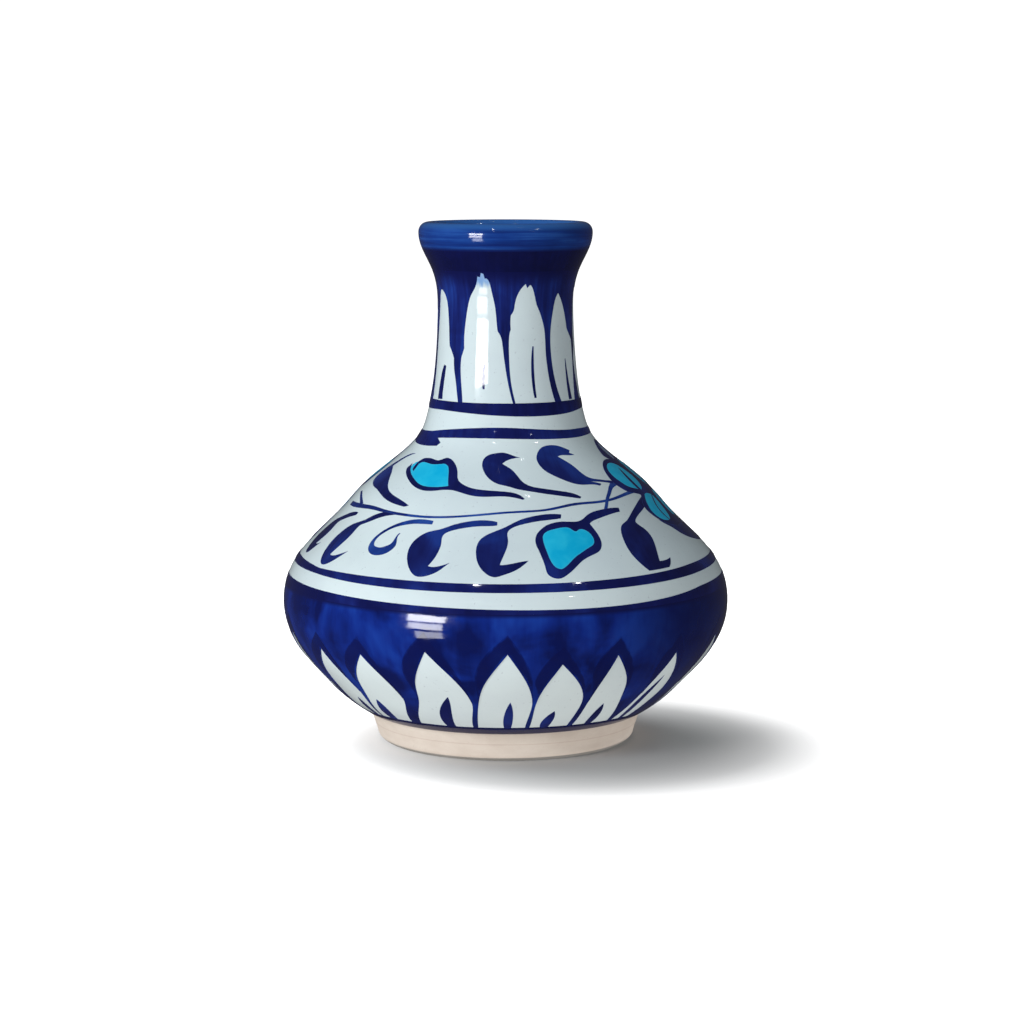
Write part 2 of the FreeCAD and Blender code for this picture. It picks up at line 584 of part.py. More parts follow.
def both_flowers(shape):
    """A shape drawn about angle 0, as it stands on both flowers."""
    return turned_copies(shape, [FLOWER_ANGLE + half for half in HALF_TURNS])


def both_vines(shape):
    """A shape drawn on the front vine, and its twin half a turn round."""
    return turned_copies(shape, HALF_TURNS)


def turned_copies(shape, turns):
    copies = []
    for turn in turns:
        placed = shape.copy()
        placed.rotate(ORIGIN, AXIS, turn)
        copies.append(placed)
    return group(copies)


def on_vines(outlines):
    """Patches of every outline on both vines."""
    return [patch(outline, half) for half in HALF_TURNS for outline in outlines]


def vine_stems():
    """Long wavy stem between two flowers, with a branch at each end."""
    main = stroke((-78, 69.9, 0.7), (-70, 70, 0.8), (-62, 70.3, 0.7), (-55, 70.4, 0.6), (-48, 70.1, 0.5),
                  (-40, 69.9, 0.45), (-30, 69.8, 0.38), (-21, 70.1, 0.35), (-12, 70.7, 0.34),
                  (-4, 71.3, 0.34), (4, 71.7, 0.34), (12, 71.9, 0.34), (18, 72.3, 0.38), (25, 73, 0.42),
                  (31, 73.2, 0.4), (38, 73.2, 0.4), (46, 73.5, 0.42), (54, 74.1, 0.5), (64, 74.4, 0.55))
    left_branch = stroke((-78, 73.2, 0.4), (-72, 72, 0.5), (-66, 70.5, 0.6))
    right_branch = stroke((57, 77.6, 1.1), (53, 77, 0.9), (49.5, 76.3, 0.65), (46, 75, 0.55),
                          (43, 73.7, 0.5), (40.9, 72.3, 0.5), (38.8, 70.9, 0.5))
    drawn = patch(main).fuse([patch(left_branch), patch(right_branch)])
    crossed = [moved(UPPER_PETAL, FLOWER_ANGLE), FORKED_LEAF, HEART_BUD_OUTLINE, NARROW_LEAF]
    pieces = drawn.cut([cutter(outline) for outline in crossed]).Solids
    return both_vines(max(pieces, key=lambda piece: piece.Volume))


def curl_strokes():
    curl = stroke((-25.5, 68.5, 0.6), (-29, 68.6, 0.75), (-33, 68.4, 0.75), (-37, 67.7, 0.65),
                  (-40.5, 66.6, 0.52), (-43.3, 65, 0.52), (-44.7, 63.2, 0.6), (-44.2, 61.5, 0.95),
                  (-42.3, 60.6, 1.3), (-39.9, 60.5, 1.4), (-37.6, 61.2, 1.4), (-36.2, 62.5, 0.95),
                  (-36.5, 64, 0.38), (-36.1, 65.3, 0.22))
    return group(on_vines([curl]))


def upper_leaves():
    return group(on_vines([UPPER_LEAF, FORKED_LEAF, SWEPT_LEAF]))


def lower_leaves():
    broad = patch(BROAD_LEAF).cut(cutter(LOWER_PETAL, FLOWER_ANGLE))
    return group(on_vines([HANGING_LEAF, LONG_STEMMED_LEAF, NARROW_LEAF, SMALL_LEAF])
                 + [both_vines(broad)])


def bud_outlines():
    heart = patch(HEART_BUD_OUTLINE).cut(cutter(HEART_BUD_WASH))
    return group(on_vines([OPEN_BUD_OUTLINE]) + [both_vines(heart)])


def bud_washes():
    """Turquoise inside the buds."""
    open_bud = patch(OPEN_BUD_WASH).cut(cutter(OPEN_BUD_OUTLINE))
    return group([both_vines(open_bud)] + on_vines([HEART_BUD_WASH]))


def flower_outlines():
    """Dark outlines of the petals, run together, with a vein in each side petal."""
    upper_left, upper_right = [patch(outline) for outline in petal_pairs(UPPER_PETAL)]
    lower_left, lower_right = [patch(outline) for outline in petal_pairs(LOWER_PETAL)]
    upper = upper_left.fuse(upper_right).fuse(patch(CROWN_PETAL))
    whole = upper.fuse(lower_left.fuse(lower_right))
    hollows = [cutter(CROWN_PETAL_WASH)]
    for wash, vein in [(UPPER_PETAL_WASH, upper_vein()), (LOWER_PETAL_WASH, lower_vein())]:
        for area, mark in zip(petal_pairs(wash), petal_pairs(vein)):
            hollows.append(cutter(area).cut(patch(mark, 0, -2.0, 2.0)))
    return both_flowers(whole.cut(hollows))


def flower_washes():
    """Turquoise inside the side petals, around their veins."""
    solids = []
    for wash, vein in [(UPPER_PETAL_WASH, upper_vein()), (LOWER_PETAL_WASH, lower_vein())]:
        for area, mark in zip(petal_pairs(wash), petal_pairs(vein)):
            solids.append(patch(area).cut(cutter(mark)))
    return both_flowers(group(solids))


def flower_crowns():
    """Pale grey-blue wash of the top petal."""
    return group(on_flowers([CROWN_PETAL_WASH]))


def flower_skirts():
    """Solid cobalt petal under each flower."""
    side_petals = [cutter(outline) for outline in petal_pairs(LOWER_PETAL)]
    return both_flowers(patch(SKIRT_PETAL).cut(side_petals))


def shoulder_line():
    low = [52.1, 52.3, 52.4, 52.6, 52.6, 52.1, 52.0, 52.1, 52.6, 52.9, 52.5, 52.2]
    high = [54.2, 54.4, 54.6, 54.9, 54.1, 54.3, 54.2, 54.4, 55.1, 55.2, 54.7, 54.3]
    return hand_drawn_ring(low, high)


# ---- belly and foot ------------------------------------------------------------------------
# White petals round the foot, as seen from the front:
# (foot left, foot right, side left, side right, tip angle, tip height)
FOOT_PETALS = [(-91, -73, -83.5, -68, -74, 34.5), (-66, -52.5, -62.5, -49.5, -55.3, 32.2),
               (-52, -36.5, -47, -31.8, -39.3, 32.9), (-32.6, -11.6, -26.3, -9.8, -20, 35.6),
               (-10, 7.1, -7.8, 7.9, 0.6, 35.5), (8.6, 22.9, 9.1, 23.2, 14.4, 32.3),
               (24.8, 40.5, 25.5, 36.8, 29.2, 33.9), (42.2, 51.5, 45.1, 55.2, 49.4, 32.1)]
BACK_PETALS = 13
BACK_START = 65
BACK_END = 267
BACK_TIP_LEANS = (-1.5, 0.8, 2, -0.6)
BACK_TIP_HEIGHTS = (34, 36, 32.5, 35, 33.3)
SIDE_HEIGHT = 20                # where the petals are widest
PETAL_ROOT = 10.5
SIDE_RISES = (0.35, 0.65)       # two more places up a side, as shares of the rise from there to the tip
SIDE_CLOSINGS = (0.22, 0.55)    # and how far each has closed in towards the tip
LEFT_SPREAD = (0.2, 1.9, 4.4)           # degrees the border reaches out from the left side, going up
RIGHT_SPREAD = (0.2, 1.1, 2.6)          # and from the right side
BORDER_START = (0.05, 0.05, 0.05)       # degrees it stands off the petal
BORDER_PEAK = 5.5                       # millimetres it reaches above the tip


def foot_petals():
    """Every petal round the foot, front ones first."""
    petals = list(FOOT_PETALS)
    pitch = (BACK_END - BACK_START) / BACK_PETALS
    half = pitch / 2 - 0.8
    for i in range(BACK_PETALS):
        centre = BACK_START + (i + 0.5) * pitch
        lean = BACK_TIP_LEANS[i % len(BACK_TIP_LEANS)]
        tip = BACK_TIP_HEIGHTS[i % len(BACK_TIP_HEIGHTS)]
        petals.append((centre - half, centre + half, centre - half, centre + half, centre + lean, tip))
    return petals


def petal_side(side, tip, top, spread=(0, 0, 0)):
    """Points up one side of a foot petal, each moved out by `spread` degrees."""
    rise = top - SIDE_HEIGHT
    out = math.copysign(1, side - tip)
    places = [(side + out * spread[0], SIDE_HEIGHT)]
    for share, closing, reach in zip(SIDE_RISES, SIDE_CLOSINGS, spread[1:]):
        places.append((side + closing * (tip - side) + out * reach, SIDE_HEIGHT + share * rise))
    return places


def foot_petal(petal):
    """Outline of one white petal, about its tip."""
    left, right, side_left, side_right, tip, top = petal
    middle = (PETAL_ROOT + SIDE_HEIGHT) / 2
    up = [(left, PETAL_ROOT), ((left + side_left) / 2, middle)] + petal_side(side_left, tip, top)
    down = petal_side(side_right, tip, top)[::-1] + [((right + side_right) / 2, middle)]
    return centred([up, [(tip, top)] + down, [(right, PETAL_ROOT)]], tip)


def petal_border(petal):
    """Outline of the dark stroke that runs up one side of a petal and down the other."""
    left, right, side_left, side_right, tip, top = petal
    rising = petal_side(side_left, tip, top, LEFT_SPREAD)
    falling = petal_side(side_right, tip, top, RIGHT_SPREAD)[::-1]
    back_up = petal_side(side_right, tip, top, BORDER_START)
    back_down = petal_side(side_left, tip, top, BORDER_START)[::-1]
    return centred([rising, [(tip, top + BORDER_PEAK)] + falling[:-1], [falling[-1]], back_up,
                    [(tip, top + 0.1)] + back_down[:-1], [back_down[-1]]], tip)


def centred(outline, angle):
    """The outline about angle 0, with the turn that puts it back."""
    return moved(outline, -angle), angle


def belly_blue_ground():
    """Cobalt from the foot line to the top of the belly, round the white petals."""
    ground = band(FOOT_LINE_TOP, BELLY_GROUND_TOP, 0, PAINT)
    return ground.cut([cutter(*foot_petal(petal)) for petal in foot_petals()])


def foot_petal_borders():
    """Second, darker coat round each petal."""
    return group([patch(*petal_border(petal), PAINT, PAINT + OUTLINE) for petal in foot_petals()])


def foot_petal_veins():
    """Drop of cobalt at the foot of each petal: (angle, half width, tip height, lean)."""
    front = [(-45, 2.2, 18, 1), (-19.5, 2, 21.8, 3), (1, 1.5, 20.5, 0.5), (14.3, 1.8, 17, 1.2),
             (31.5, 1.6, 18.3, 0), (47.3, 1.3, 25, 2.6)]
    seen = {2, 3, 4, 5, 6, 7}
    others = [petal for i, petal in enumerate(foot_petals()) if i not in seen]
    marks = front + [(petal[4] - 0.5, 1.6, petal[5] - 15, 1) for petal in others]
    solids = []
    for angle, half, tip, lean in marks:
        rise = tip - FOOT_LINE_TOP
        outline = [[(-half, FOOT_LINE_TOP), (-half * 1.05, FOOT_LINE_TOP + 0.4 * rise),
                    (0.5 * lean - half * 0.6, FOOT_LINE_TOP + 0.75 * rise)],
                   [(lean, tip), (0.5 * lean + half * 0.7, FOOT_LINE_TOP + 0.7 * rise),
                    (half, FOOT_LINE_TOP + 0.35 * rise)],
                   [(half * 0.7, FOOT_LINE_TOP)]]
        solids.append(patch(outline, angle))
    return group(solids)


def belly_border():
    """Dark stroke along the top of the cobalt ground."""
    high = [47.9, 48.4, 48.9, 49.2, 48.9, 48.3, 47.7, 47.6, 49.2, 49.5, 48.8, 48.2]
    return hand_drawn_ring(steady(BELLY_GROUND_TOP), high)


def foot_line():
    return band(GLAZE_START + 0.2, FOOT_LINE_TOP, 0, PAINT)


# ---- the pieces ---------------------------------------------------------------------------------
def parts():
    return {
        "clay_foot_ring": clay_foot_ring(),
        "foot_luting_slip": foot_luting_slip(),
        "clay_bowl": clay_section(0, BELLY_SEAM),
        "belly_luting_slip": clay_section(BELLY_SEAM, BELLY_SEAM + SLIP),
        "clay_shoulder": clay_section(BELLY_SEAM + SLIP, NECK_SEAM),
        "neck_luting_slip": clay_section(NECK_SEAM, NECK_SEAM + SLIP),
        "clay_neck": clay_section(NECK_SEAM + SLIP, HEIGHT),
        "lining_glaze": lining_glaze(),
        "white_glaze": white_glaze(),
        "rim_band": rim_band(),
        "neck_dark_band": band(DRIPS_TOP, DARK_BAND_TOP, 0, PAINT),
        "neck_blue_drips": neck_blue_drips(),
        "neck_petal_tints": neck_petal_tints(),
        "neck_petal_veins": neck_petal_veins(),
        "neck_base_line": neck_base_line(),
        "neck_ring_line": neck_ring_line(),
        "vine_stems": vine_stems(),
        "upper_leaves": upper_leaves(),
        "lower_leaves": lower_leaves(),
        "curl_strokes": curl_strokes(),
        "bud_outlines": bud_outlines(),
        "bud_washes": bud_washes(),
        "flower_outlines": flower_outlines(),
        "flower_washes": flower_washes(),
        "flower_crowns": flower_crowns(),
        "flower_skirts": flower_skirts(),
        "shoulder_line": shoulder_line(),
        "belly_border": belly_border(),
        "belly_blue_ground": belly_blue_ground(),
        "foot_petal_borders": foot_petal_borders(),
        "foot_petal_veins": foot_petal_veins(),
        "foot_line": foot_line(),
    }


os.makedirs("parts", exist_ok=True)
for name, shape in parts().items():
    if not shape.isValid() or shape.Volume <= 0:
        raise ValueError(name + " is not a sound solid")
    shape.exportStep("parts/" + name + ".step")
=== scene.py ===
import math

import bpy
import numpy as np
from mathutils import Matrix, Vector
from mathutils.geometry import delaunay_2d_cdt


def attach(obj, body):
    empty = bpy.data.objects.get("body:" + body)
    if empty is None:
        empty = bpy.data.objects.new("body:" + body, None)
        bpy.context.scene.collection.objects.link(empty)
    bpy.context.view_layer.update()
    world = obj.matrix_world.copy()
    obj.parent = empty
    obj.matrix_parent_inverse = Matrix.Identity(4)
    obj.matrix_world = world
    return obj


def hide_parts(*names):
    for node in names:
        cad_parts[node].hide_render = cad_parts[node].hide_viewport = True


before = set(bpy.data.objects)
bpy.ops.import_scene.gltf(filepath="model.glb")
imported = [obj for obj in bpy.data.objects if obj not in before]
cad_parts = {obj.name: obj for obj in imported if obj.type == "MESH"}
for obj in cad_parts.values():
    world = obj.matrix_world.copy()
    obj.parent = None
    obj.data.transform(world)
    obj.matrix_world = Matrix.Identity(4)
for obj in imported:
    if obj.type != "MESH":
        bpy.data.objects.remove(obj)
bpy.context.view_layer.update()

# Lengths in this script are millimetres; meshes are written in metres.
# A place on the wall is (angle, height): degrees from the front (-Y) towards +X, and Z.
MM = 0.001
FULL = 360.0
SEGMENTS = 192                  # round the vase
CORNER = 35.0                   # a section turns by more than this only at a real corner
SAGITTA = 0.008                 # how far a facet may stand off its curve
FACETS = (0.3, 3.0)             # shortest and longest facet along a curve
ON_PLANE = 0.002                # how far off the seam plane a vertex may lie
ON_AXIS = 0.01                  # a row with a smaller radius is one point
WALL_SAMPLES = 4000             # along the outer face of the white glaze
FIRST_CUT = -179.3              # degrees: where a ring is first tried for a clean cut
NEXT_CUT = 0.7                  # degrees: and how much further each time
SHARED_HEIGHTS = (11.2, 46.4, 99.6, 131.4, 136.6, 142.3)        # where one colour runs on to the next
SAME_HEIGHT = 0.03              # how near to one of those an edge must be
DEEP_INSIDE = 5.0               # stands for "far from any painted edge"
SKIN = 0.03                     # a coat's edge is this thick, and its underside this deep in the glaze
SHOULDER = 0.6                  # a coat reaches its full thickness this far in from its edge
EDGE_STEP = 0.45                # sides of an outline, as a share of the mesh spacing
CUT_STEP = 0.6                  # the same where a ring is cut
ROW_STEP = 0.87                 # rows of the inner grid, as a share of the spacing
GRID_GAP = (1.0, 0.7)           # the grid keeps off the edge by this much, or this share of the spacing
FRINGE_ROWS = ((0.25, 1), (0.7, 2))     # points inside an edge: how deep, and at every which point
FRINGE_GAPS = (0.22, 0.3, 0.62)         # kept if the edge is between the first two, or past the last
rng = np.random.default_rng(11)


# ---- reading the frame --------------------------------------------------------------------
def welded(node):
    """Points in millimetres, doubles merged, and triangles of a CAD node."""
    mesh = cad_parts[node].data
    points = np.zeros(3 * len(mesh.vertices), np.float32)
    mesh.vertices.foreach_get("co", points)
    mesh.calc_loop_triangles()
    tris = np.zeros(3 * len(mesh.loop_triangles), np.int32)
    mesh.loop_triangles.foreach_get("vertices", tris)
    return weld(points.reshape(-1, 3).astype(float) / MM, tris.reshape(-1, 3))


def weld(points, tris):
    unique, first, index = np.unique(np.round(points, 3), axis=0, return_index=True, return_inverse=True)
    tris = index.reshape(-1)[tris]
    keep = (tris[:, 0] != tris[:, 1]) & (tris[:, 1] != tris[:, 2]) & (tris[:, 2] != tris[:, 0])
    return points[first], tris[keep]


def seam_section(node):
    """A turned node's outline in its seam plane, anticlockwise (radius, height), and if it is closed."""
    points, tris = welded(node)
    flat = (np.abs(points[:, 1]) < ON_PLANE) & (points[:, 0] > -ON_PLANE)
    links = {}
    for tri in tris:
        for a, b in ((tri[0], tri[1]), (tri[1], tri[2]), (tri[2], tri[0])):
            if flat[a] and flat[b]:
                links.setdefault(int(a), set()).add(int(b))
                links.setdefault(int(b), set()).add(int(a))
    ends = [v for v in links if len(links[v]) == 1]
    chain = [ends[0] if ends else next(iter(links))]
    used = set(chain)
    while True:
        following = [v for v in links[chain[-1]] if v not in used]
        if not following:
            break
        chain.append(following[0])
        used.add(following[0])
    outline = points[chain][:, [0, 2]]
    r, z = outline.T
    if np.sum(r * np.roll(z, -1) - np.roll(r, -1) * z) < 0:
        outline = outline[::-1]
    return outline, not ends


def stretches(outline, closed):
    """The outline cut at its corners."""
    count = len(outline)
    before = outline - np.roll(outline, 1, axis=0)
    after = np.roll(outline, -1, axis=0) - outline
    turn = np.degrees(np.abs(np.arctan2(before[:, 0] * after[:, 1] - before[:, 1] * after[:, 0],
                                        (before * after).sum(axis=1))))
    corners = [i for i in range(count) if turn[i] > CORNER]
    if not closed:
        corners = sorted(set(corners) | {0, count - 1})
        return [outline[a:b + 1] for a, b in zip(corners, corners[1:])]
    parts = []
    for a, b in zip(corners, corners[1:] + [corners[0] + count]):
        parts.append(outline[[k % count for k in range(a, b + 1)]])
    return parts


class Curve:
    """Natural cubic spline through points, by chord length."""

    def __init__(self, points):
        self.points = points
        steps = np.hypot(*np.diff(points, axis=0).T)
        slopes = np.diff(points, axis=0) / steps[:, None]
        self.t = np.concatenate([[0], np.cumsum(steps)])
        n = len(points)
        matrix = np.eye(n)
        right = np.zeros((n, 2))
        for i in range(1, n - 1):
            matrix[i, i - 1] = steps[i - 1]
            matrix[i, i] = 2 * (steps[i - 1] + steps[i])
            matrix[i, i + 1] = steps[i]
            right[i] = 6 * (slopes[i] - slopes[i - 1])
        self.bend = np.linalg.solve(matrix, right)

    def at(self, t):
        """Points, tangents and curvatures."""
        i = np.clip(np.searchsorted(self.t, t, "right") - 1, 0, len(self.t) - 2)
        h = (self.t[i + 1] - self.t[i])[:, None]
        b = (t - self.t[i])[:, None] / h
        a = 1 - b
        p, q = self.points[i], self.points[i + 1]
        m, n = self.bend[i], self.bend[i + 1]
        place = a * p + b * q + ((a ** 3 - a) * m + (b ** 3 - b) * n) * h * h / 6
        slope = (q - p) / h + ((3 * b * b - 1) * n - (3 * a * a - 1) * m) * h / 6
        bend = a * m + b * n
        size = np.hypot(*slope.T)
        curvature = np.abs(slope[:, 0] * bend[:, 1] - slope[:, 1] * bend[:, 0]) / size ** 3
        return place, slope / size[:, None], curvature

    def paced(self):
        """Parameters closer together where the curve bends more."""
        dense = np.linspace(0, self.t[-1], max(50, int(self.t[-1] * 8)))
        curvature = self.at(dense)[2]
        rate = 1 / np.clip(np.sqrt(8 * SAGITTA / np.maximum(curvature, 1e-6)), *FACETS)
        total = np.concatenate([[0], np.cumsum((rate[1:] + rate[:-1]) / 2 * np.diff(dense))])
        count = max(2, int(math.ceil(total[-1])) + 1)
        return np.interp(np.linspace(0, total[-1], count), total, dense)


def section_rows(node):
    """Rows (radius, height) of a turned node, and strips of (row, next row, normal, next normal)."""
    outline, closed = seam_section(node)
    rows = []
    strips = []
    parts = stretches(outline, closed)
    for k, part in enumerate(parts):
        if len(part) == 2:
            along = (part[1] - part[0]) / np.hypot(*(part[1] - part[0]))
            places, tangents = part, np.array([along, along])
        else:
            curve = Curve(part)
            places, tangents, _ = curve.at(curve.paced())
        if not rows:
            rows.append(places[0])
        normals = np.column_stack([tangents[:, 1], -tangents[:, 0]])
        for i in range(1, len(places)):
            last = closed and k == len(parts) - 1 and i == len(places) - 1
            if not last:
                rows.append(places[i])
            strips.append((len(rows) - (1 if last else 2), 0 if last else len(rows) - 1,
                           normals[i - 1], normals[i]))
    return np.array(rows), strips


# ---- the wall: the outer face of the white glaze --------------------------------------------
def read_wall():
    outline, closed = seam_section("white_glaze")
    outer = max(stretches(outline, closed), key=lambda part: part[:, 0].max())
    curve = Curve(outer)
    t = np.linspace(0, curve.t[-1], WALL_SAMPLES)
    places, tangents, _ = curve.at(t)
    top = int(np.argmax(places[:, 1]))
    rises = slice(0, top)
    s = np.concatenate([[0], np.cumsum(np.hypot(*np.diff(places, axis=0).T))])
    return places[rises, 1], places[rises, 0], tangents[rises, 1], -tangents[rises, 0], s[rises]


WALL_Z, WALL_R, WALL_NR, WALL_NZ, WALL_S = read_wall()


def wall(values, z):
    return np.interp(z, WALL_Z, values)


def on_wall(angle, height, level):
    """Points in space, and their normals."""
    turn = np.radians(angle)
    out = np.column_stack([np.sin(turn), -np.cos(turn)])
    nr, nz = wall(WALL_NR, height), wall(WALL_NZ, height)
    radius = wall(WALL_R, height) + level * nr
    points = np.column_stack([out * radius[:, None], height + level * nz])
    return points, np.column_stack([out * nr[:, None], nz])


def inner_skin(node):
    """Angles, heights and triangles of the face of a painted node that lies on the glaze."""
    points, tris = welded(node)
    radius = np.hypot(points[:, 0], points[:, 1])
    foot = points[:, 2]
    for _ in range(2):
        outward = (radius - wall(WALL_R, foot)) * wall(WALL_NR, foot)
        level = outward + (points[:, 2] - foot) * wall(WALL_NZ, foot)
        foot = points[:, 2] - level * wall(WALL_NZ, foot)
    low = level < (level.min() + level.max()) / 2
    return np.degrees(np.arctan2(points[:, 0], -points[:, 1])), foot, tris[low[tris].all(axis=1)]


def boundary_loops(tris):
    edges = {(int(a), int(b)) for tri in tris for a, b in zip(tri, np.roll(tri, -1))}
    outgoing = {}
    for a, b in sorted(edges):
        if (b, a) not in edges:
            outgoing.setdefault(a, []).append(b)
    loops = []
    while outgoing:
        start = next(iter(outgoing))
        loop = [start]
        while True:
            follow = outgoing[loop[-1]]
            step = follow.pop()
            if not follow:
                del outgoing[loop[-1]]
            if step == start:
                break
            loop.append(step)
        loops.append(loop)
    return loops


def islands(count, tris):
    """Island number of each vertex."""
    parent = list(range(count))

    def root(v):
        while parent[v] != v:
            parent[v] = parent[parent[v]]
            v = parent[v]
        return v

    for a, b, c in tris.tolist():
        parent[root(b)] = root(a)
        parent[root(c)] = root(a)
    return [root(v) for v in range(count)]


def opened_ring(low, high):
    """One outline from two edges that run right round the vase, cut where each is crossed once."""
    for cut in np.arange(FIRST_CUT, FULL / 2, NEXT_CUT):
        sides = []
        for edge in (low, high):
            if edge[-1, 0] < edge[0, 0]:
                edge = edge[::-1]
            around = np.vstack([edge, [edge[0, 0] + FULL, edge[0, 1]]])
            turns = np.floor((around[:, 0] - cut) / FULL)
            crossings = np.nonzero(np.diff(turns))[0]
            if len(crossings) != 1:
                break
            i = int(crossings[0])
            share = ((turns[i] + 1) * FULL + cut - around[i, 0]) / (around[i + 1, 0] - around[i, 0])
            height = around[i, 1] + share * (around[i + 1, 1] - around[i, 1])
            rest = np.vstack([edge[i + 1:], edge[:i + 1] + [FULL, 0]])
            rest[:, 0] += cut - (math.floor((rest[0, 0] - cut) / FULL) * FULL + cut)
            sides.append(np.vstack([[cut, height], rest, [cut + FULL, height]]))
        if len(sides) == 2:
            return sides
    raise ValueError("no clean place to cut a painted ring")


def outlines(node):
    """Each painted island of a node as (loops of (angle, height), is it a ring)."""
    angle, height, tris = inner_skin(node)
    island = islands(len(angle), tris)
    found = {}
    for loop in boundary_loops(tris):
        turns = np.degrees(np.unwrap(np.radians(angle[loop + loop[:1]])))
        ring = abs(turns[-1] - turns[0]) > FULL / 2
        found.setdefault(island[loop[0]], []).append((np.column_stack([turns[:-1], height[loop]]), ring))
    result = []
    for loops in found.values():
        rings = sorted([loop for loop, ring in loops if ring], key=lambda loop: loop[:, 1].mean())
        if rings:
            result.append((opened_ring(rings[0], rings[-1]), True))
            continue
        loops = [loop for loop, ring in loops]
        outer = max(loops, key=lambda loop: np.ptp(loop[:, 0]))
        middle = outer[:, 0].mean()
        for loop in loops:
            loop[:, 0] -= FULL * round((loop[:, 0].mean() - middle) / FULL)
        result.append((loops, False))
    return result


# ---- meshes ----------------------------------------------------------------------------------
def add_piece(name, nodes, material, points, faces, normals, attributes=None):
    """A mesh piece that stands for CAD nodes.  normals: one per face corner."""
    mesh = bpy.data.meshes.new(name)
    mesh.from_pydata((points * MM).tolist(), [], faces)
    mesh.polygons.foreach_set("use_smooth", [True] * len(faces))
    for key, values in (attributes or {}).items():
        data = mesh.attributes.new(key, "FLOAT", "POINT")
        data.data.foreach_set("value", np.asarray(values, np.float32))
    mesh.normals_split_custom_set(normals)
    mesh.materials.append(material)
    piece = bpy.data.objects.new(name, mesh)
    bpy.context.scene.collection.objects.link(piece)
    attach(piece, "root")
    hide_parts(*nodes)
    return piece


def lathe(name, node, material):
    """A turned piece from a node's section."""
    rows, strips = section_rows(node)
    turn = np.radians(np.arange(SEGMENTS) * FULL / SEGMENTS)
    sine, cosine = np.sin(turn), np.cos(turn)
    points = []
    starts = []
    for radius, height in rows:
        starts.append(len(points))
        if radius < ON_AXIS:
            points.append((0, 0, height))
        else:
            points += zip(radius * cosine, radius * sine, [height] * SEGMENTS)
    faces = []
    normals = []
    for a, b, na, nb in strips:
        pole_a = rows[a][0] < ON_AXIS
        pole_b = rows[b][0] < ON_AXIS
        if pole_a and pole_b:
            continue
        for j in range(SEGMENTS):
            k = (j + 1) % SEGMENTS
            at_j = (na[0] * cosine[j], na[0] * sine[j], na[1])
            at_k = (na[0] * cosine[k], na[0] * sine[k], na[1])
            up_j = (nb[0] * cosine[j], nb[0] * sine[j], nb[1])
            up_k = (nb[0] * cosine[k], nb[0] * sine[k], nb[1])
            if pole_a:
                faces.append((starts[a], starts[b] + k, starts[b] + j))
                normals += [at_j, up_k, up_j]
            elif pole_b:
                faces.append((starts[a] + j, starts[a] + k, starts[b]))
                normals += [at_j, at_k, up_j]
            else:
                faces.append((starts[a] + j, starts[a] + k, starts[b] + k, starts[b] + j))
                normals += [at_j, at_k, up_k, up_j]
    return add_piece(name, [node], material, np.array(points), faces, normals,
                     {"edge": [DEEP_INSIDE] * len(points), "tone": [0.5] * len(points)})


def densified(loop, spacing, closed=True):
    """The loop with points added on its longer segments."""
    ends = np.roll(loop, -1, axis=0) if closed else loop[1:]
    result = []
    for p, q in zip(loop, ends):
        count = max(1, int(math.ceil(np.hypot(*(q - p)) / spacing)))
        result += [p + (q - p) * k / count for k in range(count)]
    if not closed:
        result.append(loop[-1])
    return np.array(result)


def contains(points, loops):
    """Even-odd test."""
    result = np.zeros(len(points), bool)
    for loop in loops:
        nxt = np.roll(loop, -1, axis=0)
        for start in range(0, len(points), 2000):
            p = points[start:start + 2000]
            crosses = (loop[:, 1] <= p[:, 1:]) != (nxt[:, 1] <= p[:, 1:])
            rise = np.where(nxt[:, 1] == loop[:, 1], 1, nxt[:, 1] - loop[:, 1])
            x = loop[:, 0] + (p[:, 1:] - loop[:, 1]) * (nxt[:, 0] - loop[:, 0]) / rise
            result[start:start + 2000] ^= ((crosses & (p[:, :1] < x)).sum(axis=1) % 2).astype(bool)
    return result


def distance(points, segments):
    """Distance from each point to the nearest of the segments (pairs of ends)."""
    a = segments[:, 0]
    along = segments[:, 1] - a
    size = np.maximum((along ** 2).sum(axis=1), 1e-12)
    result = np.zeros(len(points))
    for start in range(0, len(points), 500):
        p = points[start:start + 500, None]
        share = np.clip(((p - a) * along).sum(axis=2) / size, 0, 1)
        gap = p - a - share[:, :, None] * along
        result[start:start + 500] = np.sqrt((gap ** 2).sum(axis=2).min(axis=1))
    return result


def edges_on_white(segments):
    """The segments without those along a level line where another colour carries on."""
    heights = np.interp(segments[:, :, 1], WALL_S, WALL_Z)
    shared = np.zeros(len(segments), bool)
    for height in SHARED_HEIGHTS:
        shared |= (np.abs(heights - height) < SAME_HEIGHT).all(axis=1)
    return segments[~shared]


def closed_plane(loops, spacing):
    """Loops with points added on their longer sides, and those sides."""
    plane = [densified(loop, spacing * EDGE_STEP) for loop in loops]
    return plane, np.concatenate([np.stack([loop, np.roll(loop, -1, axis=0)], axis=1) for loop in plane])


def ring_plane(edges, spacing):
    """The two edges of an opened ring made one loop, and the sides of it that are painted edges."""
    low, high = [densified(edge, spacing * EDGE_STEP, closed=False) for edge in edges]
    rise = high[0, 1] - low[0, 1]
    steps = max(1, int(math.ceil(rise / (spacing * CUT_STEP))))
    climb = [low[0, 1] + rise * k / steps for k in range(1, steps)]
    right = [(low[-1, 0], y) for y in climb]
    left = [(low[0, 0], y) for y in climb[::-1]]
    plane = [np.array(low.tolist() + right + high[::-1].tolist() + left)]
    return plane, np.concatenate([np.stack([edge[:-1], edge[1:]], axis=1) for edge in (low, high)])


